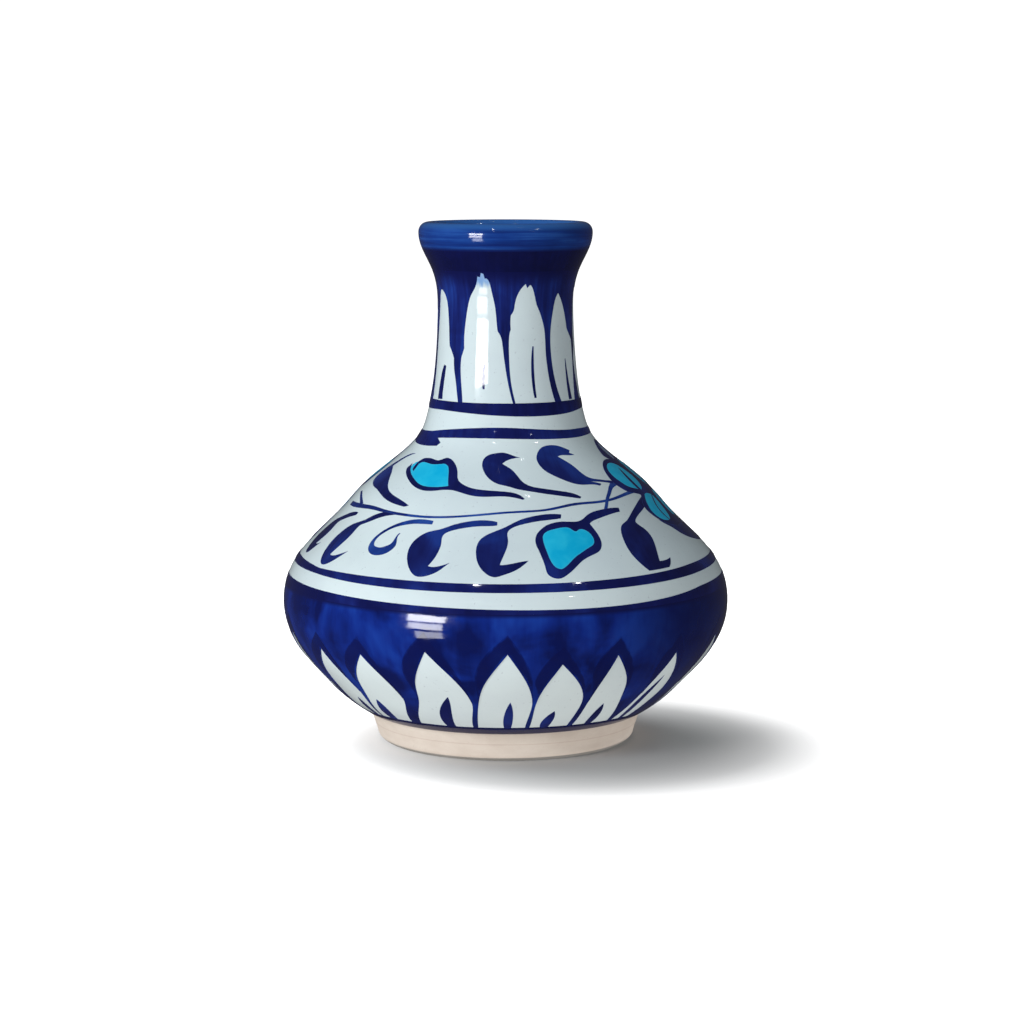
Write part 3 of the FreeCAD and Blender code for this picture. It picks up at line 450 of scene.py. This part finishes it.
def fringe_points(plane, segments):
    """Rows of points just inside the outline."""
    rows = []
    for loop in plane:
        along = np.roll(loop, -1, axis=0) - np.roll(loop, 1, axis=0)
        across = np.column_stack([-along[:, 1], along[:, 0]])
        across /= np.maximum(np.hypot(*across.T), 1e-9)[:, None]
        for depth, skip in FRINGE_ROWS:
            rows += [loop[::skip] + across[::skip] * depth, loop[::skip] - across[::skip] * depth]
    fringe = np.concatenate(rows)
    fringe = fringe[contains(fringe, plane)]
    gaps = distance(fringe, segments)
    near, far, deep = FRINGE_GAPS
    return fringe[(gaps > near) & ((gaps < far) | (gaps > deep))]


def grid_points(plane, segments, spacing):
    """A triangular grid of points well inside the outline."""
    lows = np.concatenate(plane).min(axis=0)
    highs = np.concatenate(plane).max(axis=0)
    columns = np.arange(lows[0] + spacing / 2, highs[0], spacing)
    rows = np.arange(lows[1] + spacing / 2, highs[1], spacing * ROW_STEP)
    grid = np.array([(x + (spacing / 2 if k % 2 else 0), y) for k, y in enumerate(rows) for x in columns])
    grid = grid.reshape(-1, 2)
    if len(grid):
        grid = grid[contains(grid, plane)]
    if len(grid):
        least, share = GRID_GAP
        grid = grid[distance(grid, segments) > max(least, spacing * share)]
    return grid


def triangulated(plane, inner):
    """Points and anticlockwise triangles inside closed loops."""
    edges = []
    start = 0
    for loop in plane:
        edges += [(start + i, start + (i + 1) % len(loop)) for i in range(len(loop))]
        start += len(loop)
    points = [Vector(p) for p in np.concatenate(plane + [inner])]
    verts, _, faces, _, _, _ = delaunay_2d_cdt(points, edges, [], 0, 1e-5)
    flat = np.array([tuple(v) for v in verts])
    tris = np.array([f for f in faces if len(f) == 3])
    tris = tris[contains(flat[tris].mean(axis=1), plane)]
    a, b, c = flat[tris[:, 0]], flat[tris[:, 1]], flat[tris[:, 2]]
    backwards = (b[:, 0] - a[:, 0]) * (c[:, 1] - a[:, 1]) - (b[:, 1] - a[:, 1]) * (c[:, 0] - a[:, 0]) < 0
    tris[backwards] = tris[backwards][:, ::-1]
    used, inverse = np.unique(tris, return_inverse=True)
    return flat[used], inverse.reshape(-1, 3)


def painted_patch(loops, ring, spacing):
    """Triangulated outline: angles, heights, distances in from the painted edge, and triangles."""
    heights = np.concatenate([loop[:, 1] for loop in loops])
    scale = math.radians(1) * float(wall(WALL_R, heights.mean()))
    unrolled = [np.column_stack([loop[:, 0] * scale, wall(WALL_S, loop[:, 1])]) for loop in loops]
    plane, segments = ring_plane(unrolled, spacing) if ring else closed_plane(unrolled, spacing)
    inner = np.concatenate([fringe_points(plane, segments), grid_points(plane, segments, spacing)])
    if ring:
        across = np.concatenate(plane)[:, 0]
        margin = spacing * 0.3
        inner = inner[(inner[:, 0] > across.min() + margin) & (inner[:, 0] < across.max() - margin)]
    flat, tris = triangulated(plane, inner)
    open_edges = edges_on_white(segments)
    gap = distance(flat, open_edges) if len(open_edges) else np.full(len(flat), DEEP_INSIDE)
    return flat[:, 0] / scale, np.interp(flat[:, 1], WALL_S, WALL_Z), gap, tris


def coat(name, node, material, thickness=0.1, spacing=1.5, over=0.0):
    """A thin closed coat of colour with feathered edges, from a painted node's outline."""
    points = []
    faces = []
    normals = []
    edge = []
    tone = []
    for loops, ring in outlines(node):
        angle, height, gap, tris = painted_patch(loops, ring, spacing)
        foot, _ = on_wall(angle, height, 0 * height)
        _, first, index = np.unique(np.round(foot, 3), axis=0, return_index=True, return_inverse=True)
        angle, height, gap = angle[first], height[first], gap[first]
        tris = index.reshape(-1)[tris]
        swell = np.clip(gap / SHOULDER, 0, 1)
        level = over + SKIN + thickness * swell * swell * (3 - 2 * swell)
        top, out = on_wall(angle, height, level)
        bottom, _ = on_wall(angle, height, 0 * level - SKIN)
        base = len(points)
        count = len(top)
        points += top.tolist() + bottom.tolist()
        for a, b, c in tris.tolist():
            faces.append((base + a, base + b, base + c))
            normals += [tuple(out[a]), tuple(out[b]), tuple(out[c])]
            faces.append((base + count + c, base + count + b, base + count + a))
            normals += [tuple(-out[c]), tuple(-out[b]), tuple(-out[a])]
        edges = {(a, b) for tri in tris.tolist() for a, b in zip(tri, tri[1:] + tri[:1])}
        for a, b in sorted(edges):
            if (b, a) not in edges:
                side = np.cross(top[b] - top[a], out[a])
                side /= max(np.linalg.norm(side), 1e-9)
                faces.append((base + b, base + a, base + count + a, base + count + b))
                normals += [tuple(side)] * 4
        edge += gap.tolist() * 2
        tone += [float(rng.random())] * (2 * count)
    return add_piece(name, [node], material, np.array(points), faces, normals,
                     {"edge": edge, "tone": tone})


# ---- materials -------------------------------------------------------------------------------
class Look:
    """A small helper to build one node material."""

    def __init__(self, name):
        self.material = bpy.data.materials.new(name)
        self.material.use_nodes = True
        self.tree = self.material.node_tree
        self.tree.nodes.clear()
        self.place = self.node("ShaderNodeTexCoord").outputs["Object"]

    def node(self, kind, **settings):
        made = self.tree.nodes.new(kind)
        for key, value in settings.items():
            setattr(made, key, value)
        return made

    def join(self, source, target):
        if isinstance(source, bpy.types.NodeSocket):
            self.tree.links.new(source, target)
        else:
            target.default_value = source

    def scaled(self, x, y, z):
        """Object space with each axis stretched; larger numbers give finer detail."""
        made = self.node("ShaderNodeVectorMath", operation="MULTIPLY")
        self.join(self.place, made.inputs[0])
        made.inputs[1].default_value = (x, y, z)
        return made.outputs[0]

    def around(self, fine, upright):
        """Space that changes round the vase and, more slowly, up it: for strokes drawn downwards."""
        split = self.node("ShaderNodeSeparateXYZ")
        self.join(self.place, split.inputs[0])
        flat = self.node("ShaderNodeCombineXYZ")
        self.join(split.outputs["X"], flat.inputs["X"])
        self.join(split.outputs["Y"], flat.inputs["Y"])
        unit = self.node("ShaderNodeVectorMath", operation="NORMALIZE")
        self.join(flat.outputs[0], unit.inputs[0])
        sized = self.node("ShaderNodeVectorMath", operation="SCALE")
        self.join(unit.outputs[0], sized.inputs[0])
        sized.inputs["Scale"].default_value = fine
        lift = self.maths("MULTIPLY", split.outputs["Z"], upright)
        tall = self.node("ShaderNodeCombineXYZ")
        self.join(lift, tall.inputs["Z"])
        total = self.node("ShaderNodeVectorMath", operation="ADD")
        self.join(sized.outputs[0], total.inputs[0])
        self.join(tall.outputs[0], total.inputs[1])
        return total.outputs[0]

    def height(self):
        split = self.node("ShaderNodeSeparateXYZ")
        self.join(self.place, split.inputs[0])
        return split.outputs["Z"]

    def noise(self, vector, scale=1.0, detail=3.0, rough=0.55, warp=0.0):
        made = self.node("ShaderNodeTexNoise")
        self.join(vector, made.inputs["Vector"])
        made.inputs["Scale"].default_value = scale
        made.inputs["Detail"].default_value = detail
        made.inputs["Roughness"].default_value = rough
        made.inputs["Distortion"].default_value = warp
        return made.outputs["Fac"]

    def maths(self, operation, a, b=0.0, clamp=False):
        made = self.node("ShaderNodeMath", operation=operation, use_clamp=clamp)
        self.join(a, made.inputs[0])
        self.join(b, made.inputs[1])
        return made.outputs[0]

    def span(self, value, low, high, out_low=0.0, out_high=1.0, smooth=True):
        made = self.node("ShaderNodeMapRange")
        made.interpolation_type = "SMOOTHSTEP" if smooth else "LINEAR"
        self.join(value, made.inputs["Value"])
        for key, number in zip(("From Min", "From Max", "To Min", "To Max"), (low, high, out_low, out_high)):
            made.inputs[key].default_value = number
        return made.outputs[0]

    def ramp(self, value, stops):
        made = self.node("ShaderNodeValToRGB")
        bar = made.color_ramp
        while len(bar.elements) < len(stops):
            bar.elements.new(0.5)
        for element, (place, colour) in zip(bar.elements, stops):
            element.position = place
            element.color = (*colour, 1)
        self.join(value, made.inputs["Fac"])
        return made.outputs["Color"]

    def mixed(self, share, a, b):
        made = self.node("ShaderNodeMix", data_type="RGBA")
        self.join(share, made.inputs[0])
        for value, target in ((a, made.inputs[6]), (b, made.inputs[7])):
            self.join((*value, 1) if isinstance(value, tuple) else value, target)
        return made.outputs[2]

    def attribute(self, name):
        return self.node("ShaderNodeAttribute", attribute_name=name).outputs["Fac"]

    def finish(self, colour, rough, height=None, bump=0.0, specular=0.5, deep=0.05):
        shader = self.node("ShaderNodeBsdfPrincipled")
        self.join((*colour, 1) if isinstance(colour, tuple) else colour, shader.inputs["Base Color"])
        self.join(rough, shader.inputs["Roughness"])
        shader.inputs["IOR"].default_value = 1.5
        shader.inputs["Specular IOR Level"].default_value = specular
        if height is not None:
            made = self.node("ShaderNodeBump")
            made.inputs["Strength"].default_value = bump
            made.inputs["Distance"].default_value = deep * MM
            self.join(height, made.inputs["Height"])
            self.join(made.outputs[0], shader.inputs["Normal"])
        out = self.node("ShaderNodeOutputMaterial")
        self.join(shader.outputs[0], out.inputs["Surface"])
        return self.material


def glaze_relief(look):
    """Slow swells and small ripples that every glazed surface shares."""
    slow = look.noise(look.scaled(60, 60, 90), detail=2.0)
    fine = look.noise(look.scaled(420, 420, 420), detail=2.0)
    return look.maths("ADD", look.maths("MULTIPLY", slow, 1.0), look.maths("MULTIPLY", fine, 0.12))


def glaze_rough(look, low=0.05, high=0.13):
    return look.span(look.noise(look.scaled(260, 260, 260), detail=4.0), 0.3, 0.75, low, high)


def white_look(name, light, shade, inked=None):
    """Tin glaze.  inked: heights in mm between which a cobalt line has run over its lower edge."""
    look = Look(name)
    cloud = look.noise(look.scaled(38, 38, 38), detail=4.0, rough=0.6)
    colour = look.ramp(cloud, [(0.3, shade), (0.62, light)])
    grain = look.noise(look.scaled(900, 900, 900), detail=2.0, rough=0.7)
    spots = look.span(grain, 0.66, 0.74)
    colour = look.mixed(look.maths("MULTIPLY", spots, 0.35), colour, (0.36, 0.42, 0.5))
    if inked:
        start, end = inked
        colour = look.mixed(look.span(look.height(), start * MM, end * MM), colour, BAND_DARK)
    return look.finish(colour, glaze_rough(look), glaze_relief(look), 0.35, deep=0.25)


MOTTLE_TURN = (0.4, 0.64)       # the part of the mottle over which a blue changes


def brush_mottle(look, streak, level=False):
    """Slow pools and brush streaks, 0 to 1: deep where the colour pooled, high where it is thin."""
    run = look.scaled(22, 22, 620) if level else look.around(7.0, 22.0)
    strokes = look.noise(run, scale=1.0 if level else 1.5, detail=4.0, rough=0.6, warp=0.3)
    cloud = look.noise(look.scaled(58, 58, 62), detail=3.0, rough=0.5, warp=0.5)
    lean = look.span(look.attribute("tone"), 0.0, 1.0, -0.05, 0.05, smooth=False)
    drawn = look.maths("MULTIPLY", strokes, streak)
    pooled = look.maths("MULTIPLY", cloud, 1 - streak)
    return look.maths("ADD", look.maths("ADD", drawn, pooled), lean)


def blue_colour(look, tones, streak, level=False):
    """Cobalt that goes from its dark tone to its bright one with the mottle."""
    dark, mid, bright = tones
    low, high = MOTTLE_TURN
    mottle = brush_mottle(look, streak, level)
    return look.ramp(mottle, [(low, dark), ((low + high) / 2, mid), (high, bright)])


def bleeding_edge(look, colour, halo, strength):
    """The colour thinned where it meets bare glaze."""
    ragged = look.maths("ADD", look.attribute("edge"),
                        look.span(look.noise(look.scaled(1500, 1500, 1500)), 0.3, 0.7, -0.05, 0.05))
    return look.mixed(look.span(ragged, 0.0, 0.13, strength, 0.0), colour, halo)


def glazed(look, colour, specular=0.5):
    return look.finish(colour, glaze_rough(look), glaze_relief(look), 0.35, specular=specular, deep=0.25)


def belly_colour(look):
    """The belly's cobalt, darker low down between the petals, and with painted shade towards its right side
    (+X).
    """
    colour = blue_colour(look, BELLY_TONES, 0.25)
    colour = look.mixed(look.span(look.height(), 21 * MM, 13 * MM, 0.0, 0.75), colour, LINE_TONES[0])
    # painted shade: the blue darkens towards +X, the side away from the lights
    split = look.node("ShaderNodeSeparateXYZ")
    look.join(look.place, split.inputs[0])
    return look.mixed(look.span(split.outputs["X"], 22 * MM, 56 * MM, 0.0, 0.85), colour, BELLY_PAINTED_SHADE)


def blue_look(name, tones, streak=0.3, halo=(0.05, 0.1, 0.36), level=False, deeper=None, thin_lip_highlight=None,
              specular=0.5):
    """Cobalt brushed on.  deeper, and the argument after it: two heights in mm over which it changes, and to
    what colour. The second makes the lip lighter: a painted highlight, where the cobalt also runs thin.
    """
    look = Look(name)
    colour = belly_colour(look) if tones is BELLY_TONES else blue_colour(look, tones, streak, level=level)
    for start, end, other in [change for change in (deeper, thin_lip_highlight) if change]:
        colour = look.mixed(look.span(look.height(), start * MM, end * MM), colour, other)
    return glazed(look, bleeding_edge(look, colour, halo, 0.5), specular)


def second_coat_look(name, dark):
    """A darker stroke over the belly's cobalt, soft where it fades into it."""
    look = Look(name)
    ground = belly_colour(look)
    ragged = look.maths("ADD", look.attribute("edge"),
                        look.span(look.noise(look.scaled(300, 300, 220)), 0.3, 0.7, -0.25, 0.2))
    return glazed(look, look.mixed(look.span(ragged, 0.0, 0.6, 0.0, 0.85), ground, dark))


def wash_look(name, deep, light, halo, fades=None):
    """Thin watery colour with darker tide marks.  fades: heights in mm over which it leaves the white."""
    look = Look(name)
    cloud = look.noise(look.scaled(150, 150, 150), detail=3.0, rough=0.55, warp=0.6)
    colour = look.ramp(cloud, [(0.34, deep), (0.68, light)])
    colour = look.mixed(look.span(look.attribute("edge"), 0.0, 0.5, 0.5, 0.0), colour, halo)
    if fades:
        low, high = fades
        uneven = look.span(look.noise(look.around(30.0, 60.0)), 0.3, 0.7, -0.8 * MM, 0.8 * MM)
        level = look.maths("ADD", look.height(), uneven)
        colour = look.mixed(look.span(level, low * MM, high * MM), WHITE_GLAZE, colour)
    return glazed(look, colour)


def clay_look(name, light, dark):
    look = Look(name)
    cloud = look.noise(look.scaled(70, 70, 160), detail=5.0, rough=0.65)
    colour = look.ramp(cloud, [(0.34, dark), (0.66, light)])
    grain = look.noise(look.scaled(1100, 1100, 1100), detail=3.0, rough=0.7)
    specks = look.span(grain, 0.68, 0.75, 0.0, 0.45)
    colour = look.mixed(specks, colour, (0.34, 0.27, 0.22))
    turning = look.noise(look.scaled(30, 30, 2600), detail=2.0)
    relief = look.maths("ADD", look.maths("MULTIPLY", grain, 0.5), turning)
    return look.finish(colour, look.span(cloud, 0.3, 0.7, 0.75, 0.95), relief, 0.5, specular=0.25, deep=0.06)


WHITE_GLAZE = (0.755, 0.89, 0.93)
BAND_DARK = (0.0035, 0.0055, 0.055)
WHITE = white_look("white_tin_glaze", WHITE_GLAZE, (0.7, 0.825, 0.88), inked=(10.7, 10.4))
LINING = white_look("lining_tin_glaze", (0.72, 0.78, 0.8), (0.6, 0.66, 0.68))
CLAY = clay_look("bare_fired_clay", (0.76, 0.7, 0.63), (0.67, 0.6, 0.53))
SLIP = clay_look("fired_slip", (0.7, 0.62, 0.55), (0.6, 0.52, 0.46))
BELLY_TONES = ((0.0025, 0.008, 0.095), (0.0045, 0.023, 0.235), (0.009, 0.048, 0.36))
# painted shade: the dark blue laid over the belly's right side, away from the lights
BELLY_PAINTED_SHADE = (0.0025, 0.0045, 0.055)
LINE_TONES = ((0.0045, 0.0075, 0.075), (0.007, 0.012, 0.115), (0.011, 0.026, 0.2))
LEAF_TONES = ((0.0055, 0.009, 0.085), (0.008, 0.017, 0.14), (0.012, 0.038, 0.25))
# the lip's lighter blue is a painted highlight, where the cobalt also runs thin over the edge
RIM = blue_look("rim_cobalt", ((0.006, 0.024, 0.17), (0.008, 0.045, 0.27), (0.018, 0.085, 0.38)), 0.7,
                level=True, deeper=(143.6, 142.2, (0.005, 0.01, 0.09)),
                thin_lip_highlight=(147.6, 149.6, (0.03, 0.13, 0.42)))
BAND = blue_look("dark_cobalt_band", (BAND_DARK, (0.0045, 0.007, 0.075), (0.006, 0.012, 0.12)))
FOOT_STROKE = blue_look("foot_line_cobalt", (BAND_DARK, (0.0045, 0.007, 0.06), (0.006, 0.01, 0.08)),
                        halo=(0.02, 0.025, 0.08), specular=0.06)
DRIPS = blue_look("drip_cobalt", ((0.006, 0.01, 0.09), (0.009, 0.02, 0.17), (0.014, 0.05, 0.32)), 0.45,
                  deeper=(131.5, 136.8, (0.0045, 0.007, 0.075)))
GROUND = blue_look("belly_cobalt", BELLY_TONES, 0.25, deeper=(45.0, 46.5, LINE_TONES[0]))
OVER_GROUND = second_coat_look("second_coat_cobalt", (0.003, 0.0065, 0.08))
LINE = blue_look("line_cobalt", LINE_TONES)
LEAF = blue_look("leaf_cobalt", LEAF_TONES)
STEM = blue_look("stem_cobalt", ((0.008, 0.022, 0.16), (0.012, 0.045, 0.27), (0.03, 0.1, 0.42)))
TURQUOISE = wash_look("turquoise_wash", (0.003, 0.5, 0.86), (0.02, 0.6, 0.92), (0.06, 0.56, 0.86))
GREY_BLUE = wash_look("grey_blue_wash", (0.2, 0.28, 0.46), (0.32, 0.42, 0.6), (0.2, 0.3, 0.52))
TINT = wash_look("thin_cobalt_tint", (0.2, 0.4, 0.78), (0.36, 0.58, 0.9), (0.3, 0.46, 0.8),
                 fades=(131.8, 134.0))


# ---- the pieces --------------------------------------------------------------------------------
def build_vase():
    for name, node in (("foot_ring_clay", "clay_foot_ring"), ("bowl_clay", "clay_bowl"),
                       ("shoulder_clay", "clay_shoulder"), ("neck_clay", "clay_neck")):
        lathe(name, node, CLAY)
    for name, node in (("foot_slip_ring", "foot_luting_slip"), ("belly_slip_ring", "belly_luting_slip"),
                       ("neck_slip_ring", "neck_luting_slip")):
        lathe(name, node, SLIP)
    lathe("inner_lining", "lining_glaze", LINING)
    lathe("white_glaze_skin", "white_glaze", WHITE)
    lathe("rim_cobalt_band", "rim_band", RIM)
    coat("neck_dark_ring", "neck_dark_band", BAND)
    coat("neck_drips", "neck_blue_drips", DRIPS)
    coat("neck_tints", "neck_petal_tints", TINT, spacing=1.2)
    coat("neck_veins", "neck_petal_veins", LINE, spacing=1.2)
    coat("neck_base_stroke", "neck_base_line", LINE)
    coat("neck_ring_stroke", "neck_ring_line", LINE)
    coat("vine", "vine_stems", STEM, spacing=1.0)
    coat("leaves_upper", "upper_leaves", LEAF)
    coat("leaves_lower", "lower_leaves", LEAF)
    coat("curls", "curl_strokes", STEM, spacing=1.0)
    coat("bud_lines", "bud_outlines", LINE, spacing=1.0)
    coat("bud_colour", "bud_washes", TURQUOISE)
    coat("flower_lines", "flower_outlines", LINE, spacing=1.0)
    coat("flower_colour", "flower_washes", TURQUOISE)
    coat("flower_crown_petals", "flower_crowns", GREY_BLUE)
    coat("flower_skirt_petals", "flower_skirts", LEAF)
    coat("shoulder_stroke", "shoulder_line", LINE)
    coat("belly_border_stroke", "belly_border", LINE)
    coat("belly_ground", "belly_blue_ground", GROUND, spacing=1.8)
    coat("foot_petal_strokes", "foot_petal_borders", OVER_GROUND,
         thickness=0.05, over=0.12)
    coat("foot_petal_drops", "foot_petal_veins", LINE, spacing=1.2)
    coat("foot_stroke", "foot_line", FOOT_STROKE)


# ---- stage --------------------------------------------------------------------------------------
SWEEP_FRONT = -1600             # the sweep's front edge, back wall, bend, half width and height
SWEEP_BACK = 2600
SWEEP_BEND = 700
SWEEP_SIDE = 4000
SWEEP_TOP = 3200
BEND_STEPS = 12
SHADE_CENTRE = (24, -14)        # where the floor glows least
SHADE_REACH = (27, 96)          # it starts to glow, and glows fully, this far from there
SHADE_GLOW = (0.03, 0.95)       # how much it glows at those two


def sweep_material():
    """Pale matt grey that glows white away from the vase, so only the near shadow stays; the glow's fade-in
    paints the shadow's edge.
    """
    look = Look("pale_sweep")
    colour = look.ramp(look.noise(look.scaled(2, 2, 2), detail=2.0),
                       [(0.3, (0.44, 0.44, 0.44)), (0.7, (0.46, 0.46, 0.46))])
    material = look.finish(colour, 0.9, specular=0.0)
    shader = next(node for node in look.tree.nodes if node.type == "BSDF_PRINCIPLED")
    reach = look.node("ShaderNodeVectorMath", operation="DISTANCE")
    look.join(look.place, reach.inputs[0])
    reach.inputs[1].default_value = (SHADE_CENTRE[0] * MM, SHADE_CENTRE[1] * MM, 0)
    near, far = [radius * MM for radius in SHADE_REACH]
    look.join(look.span(reach.outputs["Value"], near, far, *SHADE_GLOW), shader.inputs["Emission Strength"])
    shader.inputs["Emission Color"].default_value = (1, 1, 1, 1)
    return material


def floor_and_backdrop():
    """White sweep: a floor that curves up far behind the vase."""
    bend_starts = SWEEP_BACK - SWEEP_BEND
    profile = [(SWEEP_FRONT, 0), (bend_starts, 0)]
    for k in range(1, BEND_STEPS + 1):
        turn = math.radians(90 * k / BEND_STEPS)
        profile.append((bend_starts + SWEEP_BEND * math.sin(turn), SWEEP_BEND * (1 - math.cos(turn))))
    profile.append((SWEEP_BACK, SWEEP_TOP))
    points = [(x * MM, y * MM, z * MM) for y, z in profile for x in (-SWEEP_SIDE, SWEEP_SIDE)]
    faces = [(2 * i, 2 * i + 1, 2 * i + 3, 2 * i + 2) for i in range(len(profile) - 1)]
    sweep = staged("pale_sweep", points, faces, sweep_material())
    sweep.visible_glossy = False
    sweep.visible_diffuse = False
    return sweep


def staged(name, points, faces, material):
    """A stage object: part of the surroundings, not of the vase."""
    mesh = bpy.data.meshes.new(name)
    mesh.from_pydata(points, [], faces)
    mesh.polygons.foreach_set("use_smooth", [True] * len(faces))
    mesh.materials.append(material)
    made = bpy.data.objects.new(name, mesh)
    bpy.context.scene.collection.objects.link(made)
    return made


def area_light(name, place, aim, width, height, watts, colour=(1, 1, 1), only=None):
    """Soft light.  only: the one object it lights, if not all."""
    light = bpy.data.lights.new(name, "AREA")
    light.shape = "RECTANGLE"
    light.size = width * MM
    light.size_y = height * MM
    light.energy = watts
    light.color = colour
    lamp = bpy.data.objects.new(name, light)
    bpy.context.scene.collection.objects.link(lamp)
    lamp.location = Vector(place) * MM
    lamp.rotation_euler = (Vector(aim) - Vector(place)).to_track_quat("-Z", "Y").to_euler()
    lamp.visible_glossy = False
    lamp.visible_camera = False
    if only:
        lit = bpy.data.collections.new(name + "_only")
        lit.objects.link(only)
        lamp.light_linking.receiver_collection = lit


def glow(name, strength):
    look = Look(name)
    shader = look.node("ShaderNodeEmission")
    shader.inputs["Strength"].default_value = strength
    out = look.node("ShaderNodeOutputMaterial")
    look.join(shader.outputs[0], out.inputs["Surface"])
    return look.material


CARD_REACH = 1000               # how far off the mirrored cards stand
CARD_MIDDLE = 60                # the height they are measured from


def mirrored_card(name, azimuth, elevations, width, strength):
    """Bright card seen only in the glaze.  azimuth: degrees from the front towards +X."""
    turn = math.radians(azimuth)
    out = Vector((math.sin(turn), -math.cos(turn), 0))
    aside = Vector((math.cos(turn), math.sin(turn), 0)) * (width / 2)
    low, high = [out * CARD_REACH * math.cos(math.radians(angle))
                 + Vector((0, 0, CARD_MIDDLE + CARD_REACH * math.sin(math.radians(angle))))
                 for angle in elevations]
    corners = [low - aside, low + aside, high + aside, high - aside]
    card = staged(name, [tuple(corner * MM) for corner in corners], [(0, 1, 2, 3)], glow(name, strength))
    card.visible_camera = False
    card.visible_diffuse = False
    card.visible_shadow = False


def reflections():
    """A window of three panes to the left, and a few small lamps overhead."""
    mirrored_card("window_top", -39, (3.5, 11.5), 340, 22)
    mirrored_card("window_middle", -39.5, (-6, 1.5), 300, 15)
    mirrored_card("window_low", -38, (-17, -8.5), 240, 8)
    mirrored_card("lamp_right", 82, (79.4, 80.6), 14, 50)
    mirrored_card("lamp_front_left", -22, (57.2, 58.8), 26, 120)
    mirrored_card("lamp_front_right", 55, (53.2, 54.8), 26, 120)
    mirrored_card("lamp_low_left", -16, (33.5, 34.5), 16, 40)
    mirrored_card("lamp_low_right", 39, (37.5, 38.5), 16, 40)


def background(tree, strength, colour=(1, 1, 1)):
    made = tree.nodes.new("ShaderNodeBackground")
    made.inputs["Strength"].default_value = strength
    made.inputs["Color"].default_value = (*colour, 1)
    return made.outputs[0]


def surroundings():
    """White to the camera, soft grey as a light, and nearly dark in reflections."""
    world = bpy.data.worlds.new("studio")
    bpy.context.scene.world = world
    world.use_nodes = True
    tree = world.node_tree
    tree.nodes.clear()
    path = tree.nodes.new("ShaderNodeLightPath")
    light = tree.nodes.new("ShaderNodeMixShader")
    tree.links.new(path.outputs["Is Glossy Ray"], light.inputs[0])
    tree.links.new(background(tree, 0.31, (0.95, 0.98, 1)), light.inputs[1])
    tree.links.new(background(tree, 0.05, (1, 0.95, 0.92)), light.inputs[2])
    whole = tree.nodes.new("ShaderNodeMixShader")
    tree.links.new(path.outputs["Is Camera Ray"], whole.inputs[0])
    tree.links.new(light.outputs[0], whole.inputs[1])
    tree.links.new(background(tree, 1.2), whole.inputs[2])
    out = tree.nodes.new("ShaderNodeOutputWorld")
    tree.links.new(whole.outputs[0], out.inputs["Surface"])


CAMERA_PLACE = (1.85, -816, 174.5)
CAMERA_DIP = 7.58               # degrees below the level
CAMERA_LENS = 99.5              # on a 36 mm wide sensor


def camera():
    data = bpy.data.cameras.new("camera")
    data.lens = CAMERA_LENS
    data.sensor_width = 36
    data.clip_start = 0.01
    data.clip_end = 50
    eye = bpy.data.objects.new("camera", data)
    bpy.context.scene.collection.objects.link(eye)
    eye.location = Vector(CAMERA_PLACE) * MM
    eye.rotation_euler = (math.radians(90 - CAMERA_DIP), 0, 0)
    bpy.context.scene.camera = eye


def lights(sweep):
    """A soft light from the left, one on the sweep alone, and the light that the table throws back up."""
    area_light("soft_left", (-850, -900, 600), (0, 0, 70), 500, 500, 11.6)
    area_light("floor_wash", (-420, 260, 900), (0, 0, 0), 500, 500, 13, only=sweep)
    area_light("table_bounce", (0, -40, 1), (0, -40, 100), 420, 420, 0.3, colour=(1, 0.87, 0.78))


build_vase()
surroundings()
lights(floor_and_backdrop())
reflections()
camera()
bpy.context.scene.view_settings.view_transform = "Standard"
